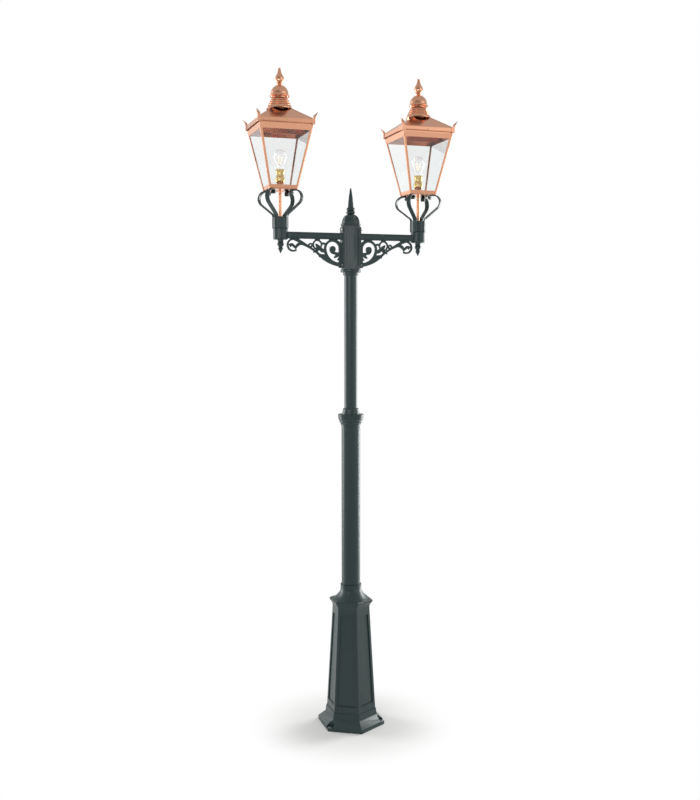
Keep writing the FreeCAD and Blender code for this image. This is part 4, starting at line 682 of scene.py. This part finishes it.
def studio_world(stage):
    """White backdrop. Mirrored are walls with two windows, a dark screen and a dimmer ceiling."""
    world = bpy.data.worlds.new("Studio")
    bpy.context.scene.world = world
    world.use_nodes = True
    tree = world.node_tree
    tree.nodes.clear()
    path = add(tree, "ShaderNodeLightPath").outputs
    direction = add(tree, "ShaderNodeTexCoord").outputs["Generated"]
    facing = (math.cos(stage.window_bearing), math.sin(stage.window_bearing), 0)
    across = add(tree, "ShaderNodeVectorMath", {1: facing}, {0: direction}, operation="DOT_PRODUCT")
    either = add(tree, "ShaderNodeMath", links={0: across.outputs["Value"]}, operation="ABSOLUTE")
    walls = add(tree, "ShaderNodeMapRange",
                {**WINDOW_FADE, "To Min": stage.walls, "To Max": stage.windows},
                {"Value": either.outputs[0]}, interpolation_type="SMOOTHSTEP")
    behind = (math.cos(stage.screen_bearing), math.sin(stage.screen_bearing), 0)
    towards = add(tree, "ShaderNodeVectorMath", {1: behind}, {0: direction}, operation="DOT_PRODUCT")
    screen = add(tree, "ShaderNodeMapRange", {**SCREEN_FADE, "To Min": 1.0, "To Max": stage.screen},
                 {"Value": towards.outputs["Value"]}, interpolation_type="SMOOTHSTEP")
    sides = add(tree, "ShaderNodeMath",
                links={0: walls.outputs["Result"], 1: screen.outputs["Result"]}, operation="MULTIPLY")
    height = add(tree, "ShaderNodeSeparateXYZ", links={0: direction})
    ceiling = add(tree, "ShaderNodeMapRange", {**CEILING_FADE, "To Min": 1.0, "To Max": stage.ceiling},
                  {"Value": height.outputs["Z"]}, interpolation_type="SMOOTHSTEP")
    room = add(tree, "ShaderNodeMath", links={0: sides.outputs[0], 1: ceiling.outputs["Result"]},
               operation="MULTIPLY")
    mirrored = add(tree, "ShaderNodeBackground", {"Color": (1, 1, 1, 1)}, {"Strength": room.outputs[0]})
    soft = add(tree, "ShaderNodeBackground", {"Color": (1, 1, 1, 1), "Strength": stage.fill})
    around = add(tree, "ShaderNodeMixShader",
                 links={0: path["Is Glossy Ray"], 1: soft.outputs[0], 2: mirrored.outputs[0]})
    seen = add(tree, "ShaderNodeBackground", {"Color": (*stage.backdrop, 1), "Strength": 1.0})
    direct = add(tree, "ShaderNodeMath",
                 links={0: path["Is Camera Ray"], 1: path["Is Transmission Ray"]}, operation="MAXIMUM")
    final = add(tree, "ShaderNodeMixShader",
                links={0: direct.outputs[0], 1: around.outputs[0], 2: seen.outputs[0]})
    add(tree, "ShaderNodeOutputWorld", links={"Surface": final.outputs[0]})


def studio_floor(stage):
    """Large pale floor that takes the post's shadow and fades to the backdrop's white away from it."""
    mesh = bpy.data.meshes.new("Studio_floor")
    corners = [(x * FLOOR_HALF, y * FLOOR_HALF, 0) for x, y in ((-1, -1), (1, -1), (1, 1), (-1, 1))]
    mesh.from_pydata(corners, [], [(0, 1, 2, 3)])
    ground = bpy.data.objects.new("Studio_floor", mesh)
    bpy.context.scene.collection.objects.link(ground)
    made, tree, place = blank("Studio_floor")
    path = add(tree, "ShaderNodeLightPath").outputs
    away = add(tree, "ShaderNodeVectorMath", links={0: place}, operation="LENGTH").outputs["Value"]
    near = add(tree, "ShaderNodeMapRange", SEEN_FADE, {"Value": away}, interpolation_type="SMOOTHSTEP")
    direct = add(tree, "ShaderNodeMath",
                 links={0: path["Is Camera Ray"], 1: path["Is Transmission Ray"]}, operation="MAXIMUM")
    far = add(tree, "ShaderNodeMapRange", MIRRORED_FADE, {"Value": away},
              interpolation_type="SMOOTHSTEP")
    seen = add(tree, "ShaderNodeMath", links={0: direct.outputs[0], 1: near.outputs["Result"]},
               operation="MULTIPLY")
    share = add(tree, "ShaderNodeMath",
                links={0: path["Is Glossy Ray"], 1: far.outputs["Result"], 2: seen.outputs[0]},
                operation="MULTIPLY_ADD")
    matt = add(tree, "ShaderNodeBsdfDiffuse", {"Color": (*stage.floor, 1)})
    white = add(tree, "ShaderNodeEmission", {"Color": (*stage.backdrop, 1), "Strength": 1.0})
    blend = add(tree, "ShaderNodeMixShader",
                links={0: share.outputs[0], 1: matt.outputs[0], 2: white.outputs[0]})
    add(tree, "ShaderNodeOutputMaterial", links={"Surface": blend.outputs[0]})
    mesh.materials.append(made)


def studio_camera(stage):
    """Camera at the place that was fitted to the photograph."""
    data = bpy.data.cameras.new("Camera")
    data.sensor_fit = "VERTICAL"
    data.sensor_height = 32
    data.lens = stage.lens
    camera = bpy.data.objects.new("Camera", data)
    turn = (Matrix.Rotation(-stage.camera_yaw, 4, "Z")
            @ Matrix.Rotation(math.pi / 2 + stage.camera_pitch, 4, "X")
            @ Matrix.Rotation(stage.camera_roll, 4, "Z"))
    camera.matrix_world = Matrix.Translation(stage.camera_place) @ turn
    bpy.context.scene.collection.objects.link(camera)
    bpy.context.scene.camera = camera


class LAMPPOST_OT_studio(bpy.types.Operator):
    """Floor, backdrop, lights and camera"""

    bl_idname = "lamppost.studio"
    bl_label = "Studio"
    bl_options = {"REGISTER", "UNDO"}

    def execute(self, context):
        stage = context.scene.lamp_post_stage
        context.scene.view_settings.view_transform = "Standard"
        context.scene.cycles.max_bounces = PANE_BOUNCES
        context.scene.cycles.transmission_bounces = PANE_BOUNCES
        studio_world(stage)
        studio_floor(stage)
        area_light("Side_light_left", (-2.6, 2.2, 1.5), COLUMN_MIDDLE, SIDE_LIGHT_SIZE,
                   stage.side_light)
        area_light("Side_light_right", (3.05, 1.05, 1.5), COLUMN_MIDDLE, SIDE_LIGHT_SIZE,
                   stage.side_light * RIGHT_LIGHT)
        area_light("Front_light", (-2.1, -2.3, 2.4), (0, 0, 2.3), (2.4, 0.8), stage.front_light)
        top = area_light("Top_light", (0, 0.4, 5.6), (0, 0, 0), (5, 5), stage.top_light)
        top.visible_glossy = False
        studio_camera(stage)
        return {"FINISHED"}


class LAMPPOST_PT_panel(bpy.types.Panel):
    """Lists the steps and settings of the lamp post"""

    bl_idname = "LAMPPOST_PT_panel"
    bl_label = "Lamp post"
    bl_space_type = "VIEW_3D"
    bl_region_type = "UI"
    bl_category = "Lamp post"

    def draw(self, context):
        for settings in (context.scene.lamp_post_finish, context.scene.lamp_post_stage):
            for name in settings.__annotations__:
                self.layout.prop(settings, name)
        for step in STEPS:
            self.layout.operator(step.bl_idname)


STEPS = (LAMPPOST_OT_column, LAMPPOST_OT_arms, LAMPPOST_OT_frogs, LAMPPOST_OT_lanterns,
         LAMPPOST_OT_roofs, LAMPPOST_OT_glazing, LAMPPOST_OT_bulbs, LAMPPOST_OT_fixings,
         LAMPPOST_OT_studio)
CLASSES = (LampPostFinish, LampPostStage, *STEPS, LAMPPOST_PT_panel)


def register():
    for item in CLASSES:
        bpy.utils.register_class(item)
    bpy.types.Scene.lamp_post_finish = bpy.props.PointerProperty(type=LampPostFinish)
    bpy.types.Scene.lamp_post_stage = bpy.props.PointerProperty(type=LampPostStage)


def unregister():
    del bpy.types.Scene.lamp_post_stage
    del bpy.types.Scene.lamp_post_finish
    for item in reversed(CLASSES):
        bpy.utils.unregister_class(item)


def main():
    register()
    bpy.ops.lamppost.column()
    bpy.ops.lamppost.arms()
    bpy.ops.lamppost.frogs()
    bpy.ops.lamppost.lanterns()
    bpy.ops.lamppost.roofs()
    bpy.ops.lamppost.glazing()
    bpy.ops.lamppost.bulbs()
    bpy.ops.lamppost.fixings()
    bpy.ops.lamppost.studio()


if __name__ == "__main__":
    main()
